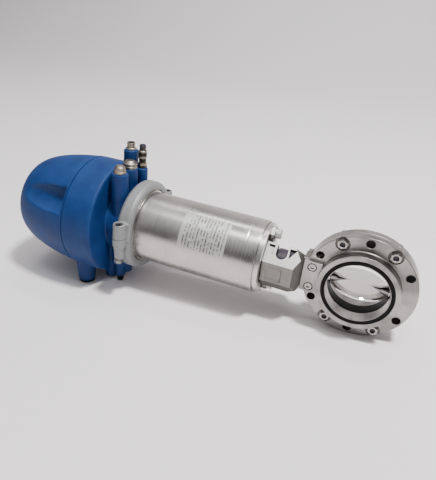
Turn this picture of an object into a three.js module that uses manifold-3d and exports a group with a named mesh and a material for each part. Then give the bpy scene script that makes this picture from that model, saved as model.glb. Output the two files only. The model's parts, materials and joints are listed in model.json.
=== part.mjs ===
// Flanged hygienic butterfly valve, DN 80, with a pneumatic quarter-turn actuator and a control head.
// It lies on its side: the valve stem runs along X, the pipe axis along Y and +Z is up.
// Local frame: origin at the disc centre, +X away from the actuator, front port on -Y. Millimetres.
// The whole assembly is pitched at the end, so that the flange rim and the control head's bosses
// stand on one level surface, and then it is moved to put the middle of its base at the origin.
import * as THREE from 'three';
import { mergeVertices } from 'three/addons/utils/BufferGeometryUtils.js';
import Module from 'manifold-3d';

const wasm = await Module();
wasm.setup();

// ---- driving dimensions -------------------------------------------------------------------
const GAP = 0.3;                 // clearance between pieces that touch
const PITCH = Math.atan(22.5 / 386);

const BORE_R = 40.5;             // pipe bore of DN 80
const HUB_R = 53.5;
const HUB_HALF = 27.5;           // half of the face-to-face length
const FLANGE_R = 73.8;           // it stands on this rim
const FLANGE_HALF = 12.5;
const BOLT_CIRCLE_R = 65.65;
const PIPE_BOLT_R = 5.5;         // six through holes for the pipeline's flange bolts
const FACE_SEAL = { inner: 41.6, outer: 46.8, depth: 3.2 };
const SEAT = { inner: 39.6, outer: 47.0, half: 9.0 };
const DISC_R = 39.2;
const DISC = {
  centre: 3.4, shoulder: 2.4, shoulderR: 36.5, edge: 0.8, hubEnd: 37, hubStart: 14, hubR: 8.6, hubWidth: 1.5,
};
const STEM_R = 7.9;
const STEM_LEFT = -104;
const BUSH_R = 9.6;
const PAD = { left: -75.2, right: -50, half: 23, face: 19 };
const TONGUE = { half: 10.5, right: -56.6 };
const YOKE_SCREW = { x: -63, z: 15, r: 3, headR: 5, headH: 5 };

const YOKE = { left: -127.7, right: -75.5, apothem: 36, cavityR: 26, endWall: -86, openSide: 13.6 };
const BRACKET_BOLT = { circleR: 41, r: 4, headR: 7.5, headH: 6.4 };
const COUPLING = { r: 18.8, left: -120, right: -90 };

const TUBE = { r: 52.4, wall: 2, left: -313, right: -135.3 };
const INNER_R = TUBE.r - TUBE.wall;
const END_PLATE = { left: -152, right: -128, rimR: 50.2 };
const HEAD_PLATE = { left: -325, right: -302, flangeR: 58 };
const STROKE = 45;               // piston travel for a quarter turn
const PISTON = { left: -182, right: -166 };
const SLEEVE = { left: -254, outer: 17, inner: 12.4 };
const SPINDLE = { r: 9.7, left: -249, camR: 12 };
const CAM_PIN = { x: -240, r: 3.5, reach: 16.8 };
const GUIDE = { r: 4, circleR: 34 };
const SPRING = { meanR: 44.5, wireR: 3, turns: 6 };
const SIGNAL_ROD = { r: 4, left: -386 };

const CLAMP = {
  left: -336, right: -314, outer: 67, inner: 55.5, groove: 58.5, lug: 80.5, top: 30, bottom: -24.5, step: 8,
};
const CLAMP_SCREW = { y: 72.6, x: -325, r: 3.6, headR: 4.8 };
const HEAD = { seam: -413, rear: -366, r: 86, neckR: 46, wall: 3 };
const CAP_SEAL = { inner: 82.5, outer: 84.5, deep: 1.7 };

// ---- solids -------------------------------------------------------------------------------
function solid(geometry) {
  const bare = geometry.clone();
  bare.deleteAttribute('normal');
  bare.deleteAttribute('uv');
  const merged = mergeVertices(bare, 1e-4);
  const points = merged.attributes.position.array;
  const corner = (i) => new THREE.Vector3().fromArray(points, 3 * i);
  const faces = [];
  let volume = 0;
  for (let i = 0; i < merged.index.count; i += 3) {
    const [a, b, c] = merged.index.array.slice(i, i + 3);
    if (a === b || b === c || c === a) continue;
    faces.push([a, b, c]);
    volume += corner(a).dot(corner(b).cross(corner(c)));
  }
  const order = volume < 0 ? faces.map(([a, b, c]) => [a, c, b]) : faces;
  return new wasm.Manifold(new wasm.Mesh({
    numProp: 3,
    vertProperties: new Float32Array(points),
    triVerts: new Uint32Array(order.flat()),
  }));
}

function join(first, ...others) {
  return others.reduce((sum, other) => sum.add(other), first);
}

function cut(body, ...tools) {
  return tools.reduce((rest, tool) => rest.subtract(tool), body);
}

function block(x0, x1, y0, y1, z0, z1) {
  const box = new THREE.BoxGeometry(x1 - x0, y1 - y0, z1 - z0);
  box.translate((x0 + x1) / 2, (y0 + y1) / 2, (z0 + z1) / 2);
  return solid(box);
}

function coneX(r0, r1, x0, x1, y = 0, z = 0, sides = 16) {
  const cone = new THREE.CylinderGeometry(r1, r0, x1 - x0, sides);
  cone.rotateZ(-Math.PI / 2);
  cone.translate((x0 + x1) / 2, y, z);
  return solid(cone);
}

function rodX(r, x0, x1, y = 0, z = 0, sides = 16) {
  return coneX(r, r, x0, x1, y, z, sides);
}

function rodY(r, y0, y1, x = 0, z = 0, sides = 12) {
  const rod = new THREE.CylinderGeometry(r, r, y1 - y0, sides);
  rod.translate(x, (y0 + y1) / 2, z);
  return solid(rod);
}

function coneZ(r0, r1, z0, z1, x = 0, y = 0, sides = 14) {
  const cone = new THREE.CylinderGeometry(r1, r0, z1 - z0, sides);
  cone.rotateX(Math.PI / 2);
  cone.translate(x, y, (z0 + z1) / 2);
  return solid(cone);
}

function rodZ(r, z0, z1, x = 0, y = 0, sides = 14) {
  return coneZ(r, r, z0, z1, x, y, sides);
}

// Turned pieces: each point of a profile is [radius, place along the axis].
function turned(profile, sides) {
  return new THREE.LatheGeometry(profile.map(([r, h]) => new THREE.Vector2(r, h)), sides);
}

function turnedX(profile, sides = 28) {
  const lathe = turned(profile, sides);
  lathe.rotateZ(-Math.PI / 2);
  return solid(lathe);
}

function turnedY(profile, sides = 36) {
  return solid(turned(profile, sides));
}

function turnedZ(profile, sides = 36) {
  const lathe = turned(profile, sides);
  lathe.rotateX(Math.PI / 2);
  return solid(lathe);
}

function ring(inner, outer, low, high) {
  return [[inner, low], [outer, low], [outer, high], [inner, high], [inner, low]];
}

// A flat outline drawn in two axes and carried along the third.
function prism(points, depth, xAxis, yAxis, start) {
  const shape = new THREE.Shape(points.map(([u, v]) => new THREE.Vector2(u, v)));
  const body = new THREE.ExtrudeGeometry(shape, { depth, bevelEnabled: false });
  const zAxis = new THREE.Vector3().crossVectors(xAxis, yAxis);
  body.applyMatrix4(new THREE.Matrix4().makeBasis(xAxis, yAxis, zAxis).setPosition(start));
  return solid(body);
}

const X = new THREE.Vector3(1, 0, 0);
const Y = new THREE.Vector3(0, 1, 0);
const Z = new THREE.Vector3(0, 0, 1);

function onBoltCircle(degrees) {
  const angle = THREE.MathUtils.degToRad(degrees);
  return [BOLT_CIRCLE_R * Math.cos(angle), BOLT_CIRCLE_R * Math.sin(angle)];
}

const PIPE_BOLT_ANGLES = [30, 90, 150, 210, 270, 330];
const HOUSING_SCREW_ANGLES = [60, 120, 240, 300];
const HOUSING_SCREW = { r: 4, headR: 7.4, headH: 5.3, floor: 10.5, pocketR: 9.6 };

// ---- materials ----------------------------------------------------------------------------
function material(color, roughness, metalness) {
  return new THREE.MeshStandardMaterial({ color, roughness, metalness });
}

const turnedSteel = material(0xb9b6b2, 0.35, 1);
const castSteel = material(0x8f8a85, 0.5, 1);
const mirrorSteel = material(0xe4e4e4, 0.08, 1);
const boltSteel = material(0x9a9690, 0.4, 1);
const tubeSteel = material(0xc9c4c0, 0.25, 1);
const castGrey = material(0x8b8c8c, 0.6, 0.2);
const blackRubber = material(0x111111, 0.6, 0);
const darkPlastic = material(0x2a2630, 0.45, 0);
const bluePlastic = material(0x1d4184, 0.5, 0);
const whitePlastic = material(0xe8e4da, 0.5, 0);
const aluminium = material(0xa8abad, 0.45, 1);
const springSteel = material(0x6b6b6d, 0.4, 1);
const brassMetal = material(0xa0865a, 0.4, 1);
const nickel = material(0x8f8774, 0.35, 1);
const boardGreen = material(0x1f5c3a, 0.6, 0);
const silverLabel = material(0xc4c4c6, 0.4, 0.3);

const assembly = new THREE.Group();

function add(name, body, finish) {
  const made = body.getMesh();
  const geometry = new THREE.BufferGeometry();
  geometry.setAttribute('position', new THREE.BufferAttribute(made.vertProperties, 3));
  geometry.setIndex(new THREE.BufferAttribute(made.triVerts, 1));
  const mesh = new THREE.Mesh(geometry, finish);
  mesh.name = name;
  assembly.add(mesh);
}

// ---- valve --------------------------------------------------------------------------------
// One half of the housing; side is -1 for the front and 1 for the rear.
function housing(side) {
  const split = GAP / 2;
  const profile = [
    [BORE_R, HUB_HALF], [FACE_SEAL.inner, HUB_HALF],
    [FACE_SEAL.inner, HUB_HALF - FACE_SEAL.depth], [FACE_SEAL.outer, HUB_HALF - FACE_SEAL.depth],
    [FACE_SEAL.outer, HUB_HALF], [HUB_R, HUB_HALF], [HUB_R, FLANGE_HALF],
    [FLANGE_R, FLANGE_HALF], [FLANGE_R, split],
    [SEAT.outer + GAP, split], [SEAT.outer + GAP, SEAT.half + GAP],
    [BORE_R, SEAT.half + GAP], [BORE_R, HUB_HALF],
  ].map(([r, y]) => [r, side * y]);
  const span = (near, far) => (side < 0 ? [-far, -near] : [near, far]);
  const pad = cut(
    block(PAD.left, PAD.right, ...span(split, PAD.face), -PAD.half, PAD.half),
    rodY(HUB_R - 1, ...span(0, PAD.face + 1), 0, 0, 36),
  );
  const lugs = HOUSING_SCREW_ANGLES.map((degrees) => {
    const [x, z] = onBoltCircle(degrees);
    return rodY(HOUSING_SCREW.pocketR - 0.6, ...span(split, HOUSING_SCREW.floor), x, z);
  });
  const tools = [
    block(PAD.left - 1, TONGUE.right + GAP, -TONGUE.half - GAP, TONGUE.half + GAP,
      -PAD.half - 1, PAD.half + 1),
    rodX(BUSH_R + GAP, TONGUE.right - 1, 64),
  ];
  for (const degrees of PIPE_BOLT_ANGLES) {
    const [x, z] = onBoltCircle(degrees);
    tools.push(rodY(PIPE_BOLT_R, -20, 20, x, z));
  }
  for (const degrees of HOUSING_SCREW_ANGLES) {
    const [x, z] = onBoltCircle(degrees);
    tools.push(rodY(HOUSING_SCREW.r + GAP, -20, 20, x, z));
    tools.push(rodY(HOUSING_SCREW.pocketR, ...span(HOUSING_SCREW.floor, 20), x, z));
  }
  for (const z of [-YOKE_SCREW.z, YOKE_SCREW.z]) {
    tools.push(rodY(YOKE_SCREW.r + GAP, -20, 20, YOKE_SCREW.x, z));
    if (side < 0) {
      tools.push(rodY(YOKE_SCREW.headR + 0.8, ...span(PAD.face - YOKE_SCREW.headH, 30), YOKE_SCREW.x, z));
    }
  }
  return cut(join(turnedY(profile), pad, ...lugs), ...tools);
}

function seatRing() {
  const crown = 0.5;
  const profile = [
    [SEAT.inner + crown, -SEAT.half], [SEAT.outer, -SEAT.half], [SEAT.outer, SEAT.half],
    [SEAT.inner + crown, SEAT.half], [SEAT.inner, SEAT.half / 2], [SEAT.inner, -SEAT.half / 2],
    [SEAT.inner + crown, -SEAT.half],
  ];
  return cut(turnedY(profile), rodX(STEM_R + GAP, -60, 60));
}

function faceSeal(side) {
  const inner = FACE_SEAL.inner + GAP;
  const outer = FACE_SEAL.outer - GAP;
  const floor = HUB_HALF - FACE_SEAL.depth + GAP;
  return turnedY(ring(inner, outer, floor, HUB_HALF - 0.2).map(([r, y]) => [r, side * y]));
}

function disc() {
  const { centre, shoulder, shoulderR, edge, hubEnd, hubStart, hubR, hubWidth } = DISC;
  const plate = turnedZ([
    [0, -centre], [shoulderR, -shoulder], [DISC_R, -edge], [DISC_R, edge], [shoulderR, shoulder], [0, centre],
  ], 36);
  const hub = (r0, r1, x0, x1) => coneX(r0, r1, x0, x1).scale([1, hubWidth, 1]);
  return join(
    plate,
    hub(hubR, 1.8, -hubEnd, -hubStart),
    hub(1.8, hubR, hubStart, hubEnd),
    rodX(STEM_R, STEM_LEFT, -hubEnd + 1),
    rodX(STEM_R, hubEnd - 1, 62),
  );
}

function stemBush(x0, x1) {
  return turnedX(ring(STEM_R + GAP, BUSH_R, x0, x1), 16);
}

function addValve() {
  add('front_housing', housing(-1), turnedSteel);
  add('rear_housing', housing(1), turnedSteel);
  add('seat_ring', seatRing(), blackRubber);
  add('front_face_seal', faceSeal(-1), blackRubber);
  add('rear_face_seal', faceSeal(1), blackRubber);
  add('disc_and_stem', disc(), mirrorSteel);
  add('stem_bush', stemBush(TONGUE.right + GAP + 0.5, -SEAT.outer - 1), whitePlastic);
  add('trunnion_bush', stemBush(SEAT.outer + 1, 61), whitePlastic);
  HOUSING_SCREW_ANGLES.forEach((degrees, i) => {
    const [x, z] = onBoltCircle(degrees);
    const seatY = HOUSING_SCREW.floor + GAP;
    const head = rodY(HOUSING_SCREW.headR, -seatY - HOUSING_SCREW.headH, -seatY, x, z, 6);
    const shank = rodY(HOUSING_SCREW.r, -seatY - 1, seatY + 7.5, x, z, 16);
    add(`housing_screw_${i + 1}`, join(head, shank), boltSteel);
    const nut = rodY(HOUSING_SCREW.headR, seatY, seatY + 6.5, x, z, 6);
    const thread = rodY(HOUSING_SCREW.r + GAP, 0, 30, x, z, 16);
    add(`housing_nut_${i + 1}`, cut(nut, thread), boltSteel);
  });
}

// ---- yoke ---------------------------------------------------------------------------------
// The bracket is an open channel with an octagonal outline; its open side faces up and back.
// The windowed wall faces up and forward: along and across are that wall's own axes.
const WALL_NORMAL = new THREE.Vector3(0, -1, 1).normalize();
const WALL_ACROSS = new THREE.Vector3(0, 1, 1).normalize();

function wallWindow(points) {
  const start = WALL_NORMAL.clone().multiplyScalar(YOKE.apothem + 4);
  return prism(points.map(([x, t]) => [t, x]), 16, WALL_ACROSS, X, start);
}

function uWindow(x0, x1, bottom, top) {
  const radius = (x1 - x0) / 2;
  const points = [[x1, top]];
  for (let i = 0; i <= 6; i += 1) {
    const angle = Math.PI * i / 6;
    points.push([(x0 + x1) / 2 + radius * Math.cos(angle), bottom + radius - radius * Math.sin(angle)]);
  }
  points.push([x0, top]);
  return wallWindow(points);
}

function yoke() {
  const { left, right, apothem, openSide } = YOKE;
  const corner = apothem * Math.tan(Math.PI / 8);
  const octagon = [
    [apothem, corner], [corner, apothem], [-corner, apothem], [-apothem, corner],
    [-apothem, -corner], [-corner, -apothem], [corner, -apothem], [apothem, -corner],
  ];
  const outer = prism(octagon, right - left, Y, Z, new THREE.Vector3(left, 0, 0));
  const opening = prism(
    [[openSide, -60], [60, -60], [60, 60], [openSide, 60]],
    80, WALL_ACROSS, WALL_NORMAL, new THREE.Vector3(left - 10, 0, 0),
  );
  const frontChamfer = [[-84.4, 35], [-70, 15], [-60, 15], [-60, 60], [-84.4, 60]];
  const topChamfer = [[-88, 34.5], [-70, 15.4], [-60, 15.4], [-60, 60], [-88, 60]];
  const down = new THREE.Vector3(0, 0, -1);
  const tools = [
    opening,
    prism(frontChamfer.map(([x, y]) => [x, -y]), 100, X, Y, new THREE.Vector3(0, 0, -50)),
    prism(frontChamfer, 100, X, Y, new THREE.Vector3(0, 0, -50)),
    prism(topChamfer, 100, X, Z, new THREE.Vector3(0, 50, 0)),
    prism(topChamfer, 100, X, down, new THREE.Vector3(0, -50, 0)),
    rodX(YOKE.cavityR, left - 1, YOKE.endWall, 0, 0, 24),
    uWindow(-113, -97.6, -7.2, 20),
    wallWindow([[-125, 9.7], [-117.2, 9.7], [-118.2, -1.6]]),
    wallWindow([[-95.4, 9.4], [-94.6, -2], [-87.6, 9.8]]),
    rodX(10.5, left + 5.5, -108, 0, -BRACKET_BOLT.circleR),
  ];
  const ear = (side) => join(
    block(left, left + 5.5, -9, 9, side < 0 ? -BRACKET_BOLT.circleR : 0, side < 0 ? 0 : BRACKET_BOLT.circleR),
    rodX(9, left, left + 5.5, 0, side * BRACKET_BOLT.circleR),
  );
  const tongue = block(right - 1, TONGUE.right, -TONGUE.half, TONGUE.half, -PAD.half, PAD.half);
  return cut(
    join(
      cut(outer, ...tools),
      cut(join(ear(-1), ear(1)), rodX(YOKE.cavityR, left - 1, left + 6, 0, 0, 24)),
      tongue,
    ),
    rodX(STEM_R + GAP, YOKE.endWall - 1, 0),
    rodX(BRACKET_BOLT.r + GAP, left - 1, left + 8, 0, BRACKET_BOLT.circleR, 16),
    rodX(BRACKET_BOLT.r + GAP, left - 1, left + 8, 0, -BRACKET_BOLT.circleR, 16),
    rodY(YOKE_SCREW.r + GAP, -12, 12, YOKE_SCREW.x, YOKE_SCREW.z),
    rodY(YOKE_SCREW.r + GAP, -12, 12, YOKE_SCREW.x, -YOKE_SCREW.z),
  );
}

function coupling() {
  const { r, left, right } = COUPLING;
  const body = turnedX([
    [0, left], [r - 3, left], [r - 3, left + 5], [r, left + 7], [r, right - 2], [r - 2, right], [0, right],
  ], 24);
  return cut(body, rodX(STEM_R + GAP, -104.5, right + 1), rodX(SPINDLE.r + GAP, left - 1, -106));
}

function addYoke() {
  add('yoke', yoke(), castSteel);
  add('stem_coupling', coupling(), darkPlastic);
  const indicator = cut(
    turnedX(ring(COUPLING.r - 2.7, COUPLING.r - 0.6, COUPLING.left + 0.5, COUPLING.left + 4.5), 24),
    block(COUPLING.left, COUPLING.left + 5, -30, 30, -30, 0),
  );
  add('position_indicator', indicator, whitePlastic);
  [YOKE_SCREW.z, -YOKE_SCREW.z].forEach((z, i) => {
    const { x, r, headR, headH } = YOKE_SCREW;
    const floor = -PAD.face + headH - GAP;
    const head = rodY(headR, floor - headH + 0.6, floor, x, z);
    const socket = rodY(2.9, floor - headH, floor - 2.5, x, z, 6);
    const shank = rodY(r, floor - 1, PAD.face - 2, x, z, 16);
    add(`yoke_screw_${i + 1}`, cut(join(head, shank), socket), boltSteel);
  });
  [1, -1].forEach((side, i) => {
    const z = side * BRACKET_BOLT.circleR;
    const face = YOKE.left + 5.5 + GAP;
    const washer = rodX(BRACKET_BOLT.headR + 0.8, face, face + 1.6, 0, z);
    const head = rodX(BRACKET_BOLT.headR, face + 1, face + 1.6 + BRACKET_BOLT.headH, 0, z, 6);
    const shank = rodX(BRACKET_BOLT.r, END_PLATE.right - 12, face + 1, 0, z, 16);
    add(`bracket_bolt_${i + 1}`, join(washer, head, shank), boltSteel);
  });
}

// ---- actuator -----------------------------------------------------------------------------
function endPlate() {
  const { left, right, rimR } = END_PLATE;
  const spigot = INNER_R - GAP;
  const body = turnedX([
    [0, left], [spigot, left], [spigot, left + 5], [spigot - 2.6, left + 5], [spigot - 2.6, left + 9],
    [spigot, left + 9], [spigot, TUBE.right + 0.2], [rimR - 1.4, TUBE.right + 0.2],
    [rimR - 1.4, -134.2], [rimR, -134.2], [rimR, right - 0.8], [rimR - 0.8, right], [0, right],
  ]);
  return cut(
    body,
    rodX(SPINDLE.r + GAP, left - 1, right + 1),
    rodX(BRACKET_BOLT.r + GAP, right - 13, right + 1, 0, BRACKET_BOLT.circleR, 16),
    rodX(BRACKET_BOLT.r + GAP, right - 13, right + 1, 0, -BRACKET_BOLT.circleR, 16),
  );
}

function headPlate() {
  const { left, right, flangeR } = HEAD_PLATE;
  const spigot = INNER_R - GAP;
  const body = turnedX([
    [0, left], [flangeR - 1.5, left], [flangeR, left + 1.5], [flangeR, -319], [flangeR - 1.5, -317.8],
    [54.2, -317.8], [54.2, -313.6], [spigot, -313.6], [spigot, right - 4 - 5], [spigot - 2.6, right - 4 - 5],
    [spigot - 2.6, right - 5], [spigot, right - 5], [spigot, right], [0, right],
  ]);
  return cut(body, rodX(SIGNAL_ROD.r + GAP, left - 1, right + 1));
}

function groovedSeal(x0) {
  return turnedX(ring(INNER_R - GAP - 2.4, INNER_R - GAP / 2, x0 + 0.2, x0 + 3.8));
}

function piston() {
  const { left, right } = PISTON;
  const r = INNER_R - GAP;
  const middle = (left + right) / 2;
  const body = turnedX([
    [SPINDLE.camR + 2, left], [r, left], [r, middle - 2], [r - 2.6, middle - 2], [r - 2.6, middle + 2],
    [r, middle + 2], [r, right], [SPINDLE.camR + 2, right], [SPINDLE.camR + 2, left],
  ]);
  return cut(
    body,
    rodX(GUIDE.r + GAP, left - 1, right + 1, 0, GUIDE.circleR, 16),
    rodX(GUIDE.r + GAP, left - 1, right + 1, 0, -GUIDE.circleR, 16),
  );
}

// A helical slot turns the piston's straight stroke into the stem's quarter turn.
function helicalSlot(phase) {
  const clearance = 0.6;
  const halfWidth = (CAM_PIN.r + clearance) / Math.cos(Math.atan(SLEEVE.outer * Math.PI / 2 / STROKE));
  const run = CAM_PIN.r + clearance;
  const steps = 10;
  const places = [];
  for (let i = 0; i <= steps; i += 1) {
    const along = -run + (STROKE + 2 * run) * i / steps;
    const angle = phase + Math.PI / 2 * along / STROKE;
    const out = new THREE.Vector3(0, Math.cos(angle), Math.sin(angle));
    const side = new THREE.Vector3(0, -Math.sin(angle), Math.cos(angle));
    for (const [r, s] of [[8, -1], [22, -1], [22, 1], [8, 1]]) {
      const point = new THREE.Vector3(CAM_PIN.x + along, 0, 0);
      point.addScaledVector(out, r).addScaledVector(side, s * halfWidth);
      places.push(...point.toArray());
    }
  }
  const faces = [0, 1, 2, 0, 2, 3];
  for (let i = 0; i < steps; i += 1) {
    for (let k = 0; k < 4; k += 1) {
      const a = 4 * i + k;
      const b = 4 * i + (k + 1) % 4;
      faces.push(a, b + 4, b, a, a + 4, b + 4);
    }
  }
  const last = 4 * steps;
  faces.push(last, last + 2, last + 1, last, last + 3, last + 2);
  const slot = new THREE.BufferGeometry();
  slot.setAttribute('position', new THREE.BufferAttribute(new Float32Array(places), 3));
  slot.setIndex(faces);
  return solid(slot);
}

function camSleeve() {
  const right = PISTON.right;
  const tube = turnedX([
    [0, SLEEVE.left], [SLEEVE.outer, SLEEVE.left], [SLEEVE.outer, PISTON.left - GAP],
    [SPINDLE.camR + 1.7, PISTON.left - GAP], [SPINDLE.camR + 1.7, right], [SLEEVE.inner, right],
    [SLEEVE.inner, SLEEVE.left + 4.5], [0, SLEEVE.left + 4.5],
  ], 24);
  return cut(tube, helicalSlot(0), helicalSlot(Math.PI));
}

function spindle() {
  const { r, left, camR } = SPINDLE;
  const body = turnedX([
    [0, left], [camR, left], [camR, PISTON.right - 1], [r, END_PLATE.left - 1], [r, -106.5], [0, -106.5],
  ], 16);
  return cut(body, rodY(CAM_PIN.r + 0.1, -30, 30, CAM_PIN.x, 0, 16));
}

class Coil extends THREE.Curve {
  constructor(radius, x0, x1, turns) {
    super();
    Object.assign(this, { radius, x0, x1, turns });
  }

  getPoint(t) {
    const angle = 2 * Math.PI * this.turns * t;
    return new THREE.Vector3(
      this.x0 + (this.x1 - this.x0) * t,
      this.radius * Math.cos(angle),
      this.radius * Math.sin(angle),
    );
  }
}

function pistonSpring() {
  const { meanR, wireR, turns } = SPRING;
  const left = HEAD_PLATE.right + wireR + GAP + 0.5;
  const right = PISTON.left - wireR - GAP - 0.5;
  const section = new THREE.Shape();
  section.absarc(0, 0, wireR, 0, 2 * Math.PI);
  return solid(new THREE.ExtrudeGeometry(section, {
    extrudePath: new Coil(meanR, left, right, turns), steps: 10 * turns, curveSegments: 3,
  }));
}

function addActuator() {
  add('actuator_tube', turnedX(ring(INNER_R, TUBE.r, TUBE.left, TUBE.right), 40), tubeSteel);
  add('end_plate', endPlate(), turnedSteel);
  add('end_plate_seal', groovedSeal(END_PLATE.left + 5), blackRubber);
  add('head_plate', headPlate(), turnedSteel);
  add('head_plate_seal', groovedSeal(HEAD_PLATE.right - 9), blackRubber);
  add('piston', piston(), aluminium);
  add('piston_seal', groovedSeal((PISTON.left + PISTON.right) / 2 - 2), blackRubber);
  add('cam_sleeve', camSleeve(), turnedSteel);
  add('spindle', spindle(), turnedSteel);
  add('cam_pin', rodY(CAM_PIN.r, -CAM_PIN.reach, CAM_PIN.reach, CAM_PIN.x, 0, 16), boltSteel);
  add('piston_spring', pistonSpring(), springSteel);
  [1, -1].forEach((side, i) => {
    const rod = rodX(GUIDE.r, HEAD_PLATE.right + GAP, END_PLATE.left - GAP, 0, side * GUIDE.circleR, 16);
    add(`guide_rod_${i + 1}`, rod, turnedSteel);
  });
  add('signal_rod', rodX(SIGNAL_ROD.r, SIGNAL_ROD.left, SLEEVE.left - GAP, 0, 0, 16), turnedSteel);
  add('position_magnet', rodX(7, SIGNAL_ROD.left - 10 - GAP, SIGNAL_ROD.left - GAP, 0, 0, 24), boltSteel);
  const label = cut(
    turnedX(ring(TUBE.r + 0.3, TUBE.r + 0.8, -246, -178), 48),
    block(-250, -170, 0, 80, -80, 80),
    block(-250, -170, -80, 80, -80, 23),
  );
  add('name_plate', cut(label, block(-250, -170, -11, 80, -80, 80)), silverLabel);
}

// ---- clamp --------------------------------------------------------------------------------
// One half of the two-part clamp; side is 1 for the upper half and -1 for the lower.
// The ring is split at mid height, and the lower half's lugs rise a step above that.
function clampHalf(side) {
  const { left, right, outer, inner, groove, lug, top, bottom, step } = CLAMP;
  const band = turnedX([
    [inner - 4, left], [outer - 3, left], [outer, left + 4], [outer, right - 4], [outer - 3, right],
    [inner - 4, right], [inner - 4, left],
  ], 36);
  const [low, high] = side < 0 ? [bottom, step - GAP / 2] : [step + GAP / 2, top];
  const lugBlock = (end, extra, z0, z1) => {
    const near = end * (outer - 8);
    const far = end * (lug - 1.2 + extra);
    return block(left + 2 - extra, right - 1, Math.min(near, far), Math.max(near, far), z0, z1);
  };
  const lugs = [-1, 1].flatMap((end) => (
    side < 0
      ? [lugBlock(end, 0, low, high), lugBlock(end, 1.2, low + 17, high)]
      : [lugBlock(end, 0, low, high)]
  ));
  const bore = turnedX([
    [0, left - 1], [inner, left - 1], [inner, left + 1.5], [groove, left + 3.5], [groove, right - 4.5],
    [inner, right - 2.5], [inner, right + 1], [0, right + 1],
  ], 36);
  const far = 90;
  const stepAt = outer + 0.5;
  const otherSide = side < 0
    ? [block(left - 5, right + 5, -stepAt, stepAt, -GAP / 2, far)]
    : [
      block(left - 5, right + 5, -stepAt, stepAt, -far, GAP / 2),
      block(left - 5, right + 5, stepAt - 1, far, -far, step + GAP / 2),
      block(left - 5, right + 5, -far, 1 - stepAt, -far, step + GAP / 2),
    ];
  const holes = [-1, 1].flatMap((end) => [
    rodZ(CLAMP_SCREW.r + GAP, -60, 60, CLAMP_SCREW.x, end * CLAMP_SCREW.y, 16),
    rodZ(CLAMP_SCREW.headR + 0.8, top - 7, 60, CLAMP_SCREW.x, end * CLAMP_SCREW.y, 16),
  ]);
  return cut(join(band, ...lugs), bore, ...otherSide, ...holes);
}

function addClamp() {
  add('upper_clamp_half', clampHalf(1), castGrey);
  add('lower_clamp_half', clampHalf(-1), castGrey);
  [-1, 1].forEach((end, i) => {
    const { x, r, headR } = CLAMP_SCREW;
    const y = end * CLAMP_SCREW.y;
    const seat = CLAMP.top - 7 + GAP;
    const head = rodZ(headR, seat, seat + 5.5, x, y);
    const shank = rodZ(r, CLAMP.bottom - 7, seat + 1, x, y, 16);
    const socket = rodZ(3.2, seat + 2.5, seat + 8, x, y, 6);
    add(`clamp_screw_${i + 1}`, cut(join(head, shank), socket), boltSteel);
    const nut = rodZ(6.6, CLAMP.bottom - 6.3, CLAMP.bottom - GAP, x, y, 6);
    add(`clamp_nut_${i + 1}`, cut(nut, rodZ(r + GAP, -60, 0, x, y, 16)), boltSteel);
  });
}

// ---- control head -------------------------------------------------------------------------
// The vertical boss at the front left carries a vent cap on top and a drain plug below.
const LONG_BOSS = { x: -350, y: -29, r: 12, top: 85, step: -62, bottom: -84, lowR: 7.5 };
const DRAIN_TIP = -93.2;
const MIDDLE_BOSS = { x: -353, y: 3, r: 11.4, top: 83.5 };
const AIR_BOSS = { x: -345, y: 25, r: 8.3, top: 79 };
const AIR_TUBE_R = 3.6;
const PLUG_BOSS = { x: -366.5, y: 28, r: 11, top: 102 };
const SIDE_BOSS = { x: -368.5, y: -24, r: 10.2, bottom: -91.5, top: 20 };
const INNER_BOSS = { x: -344.3, y: -19, r: 7.8, bottom: -79.5, top: -30 };
const FOOT_BOSS = { x: -397.6, y: 50, topR: 15.2, lowR: 12.8, plugR: 8.6, footR: 12.2, footHigh: 3 };
const GRIP = { angle: 30, distance: 91, r: 22, start: -416.4 };
const CAP_OUTLINE = [
  [85.2, -413.3], [84.6, -430], [80.8, -451], [77.2, -468], [70.4, -490], [62.2, -505], [50, -514.6],
  [26, -518.8], [0, -519.6],
];

// Where a boss of radius r at x meets the level surface that the valve lies on.
function surfaceBelow(x, r) {
  return ((x + r) * Math.sin(PITCH) - FLANGE_R) / Math.cos(PITCH);
}

function upright({ x, y, r, bottom = 0, top }) {
  return rodZ(r, bottom, top, x, y);
}

function headBase() {
  const { seam, rear, r, neckR } = HEAD;
  const { inner, outer, deep } = CAP_SEAL;
  const cavityR = 79;
  const shell = turnedX([
    [9, -325.3], [56.5, -325.3], [58, -326.8], [58, -332.2], [54.5, -334.2], [54.5, -340],
    [neckR, -342], [neckR, rear], [r - 5, rear], [r - 1.5, rear - 1.5], [r, rear - 5], [r, seam],
    [cavityR, seam], [cavityR, rear - 6], [9, rear - 6], [9, -325.3],
  ], 36);
  const footEnd = surfaceBelow(FOOT_BOSS.x, FOOT_BOSS.lowR);
  const feet = [-1, 1].map((side) => coneZ(
    FOOT_BOSS.lowR, FOOT_BOSS.topR, footEnd + FOOT_BOSS.footHigh + GAP, -52, FOOT_BOSS.x, side * FOOT_BOSS.y,
  ));
  const bosses = [
    rodZ(LONG_BOSS.r, LONG_BOSS.step, LONG_BOSS.top, LONG_BOSS.x, LONG_BOSS.y),
    rodZ(LONG_BOSS.lowR, LONG_BOSS.bottom, LONG_BOSS.step + 1, LONG_BOSS.x, LONG_BOSS.y),
    ...[MIDDLE_BOSS, AIR_BOSS, PLUG_BOSS, SIDE_BOSS, INNER_BOSS].map(upright),
  ];
  const plugPockets = [-1, 1].map((side) => (
    rodZ(FOOT_BOSS.plugR + GAP, footEnd - 1, footEnd + 12, FOOT_BOSS.x, side * FOOT_BOSS.y)
  ));
  return cut(
    join(shell, ...feet, ...bosses),
    rodX(cavityR, seam - 10, rear - 6, 0, 0, 36),
    turnedX(ring(inner - GAP, outer + GAP, seam - 10, seam + deep), 36),
    rodX(9, rear - 10, -320),
    ...plugPockets,
  );
}

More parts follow.
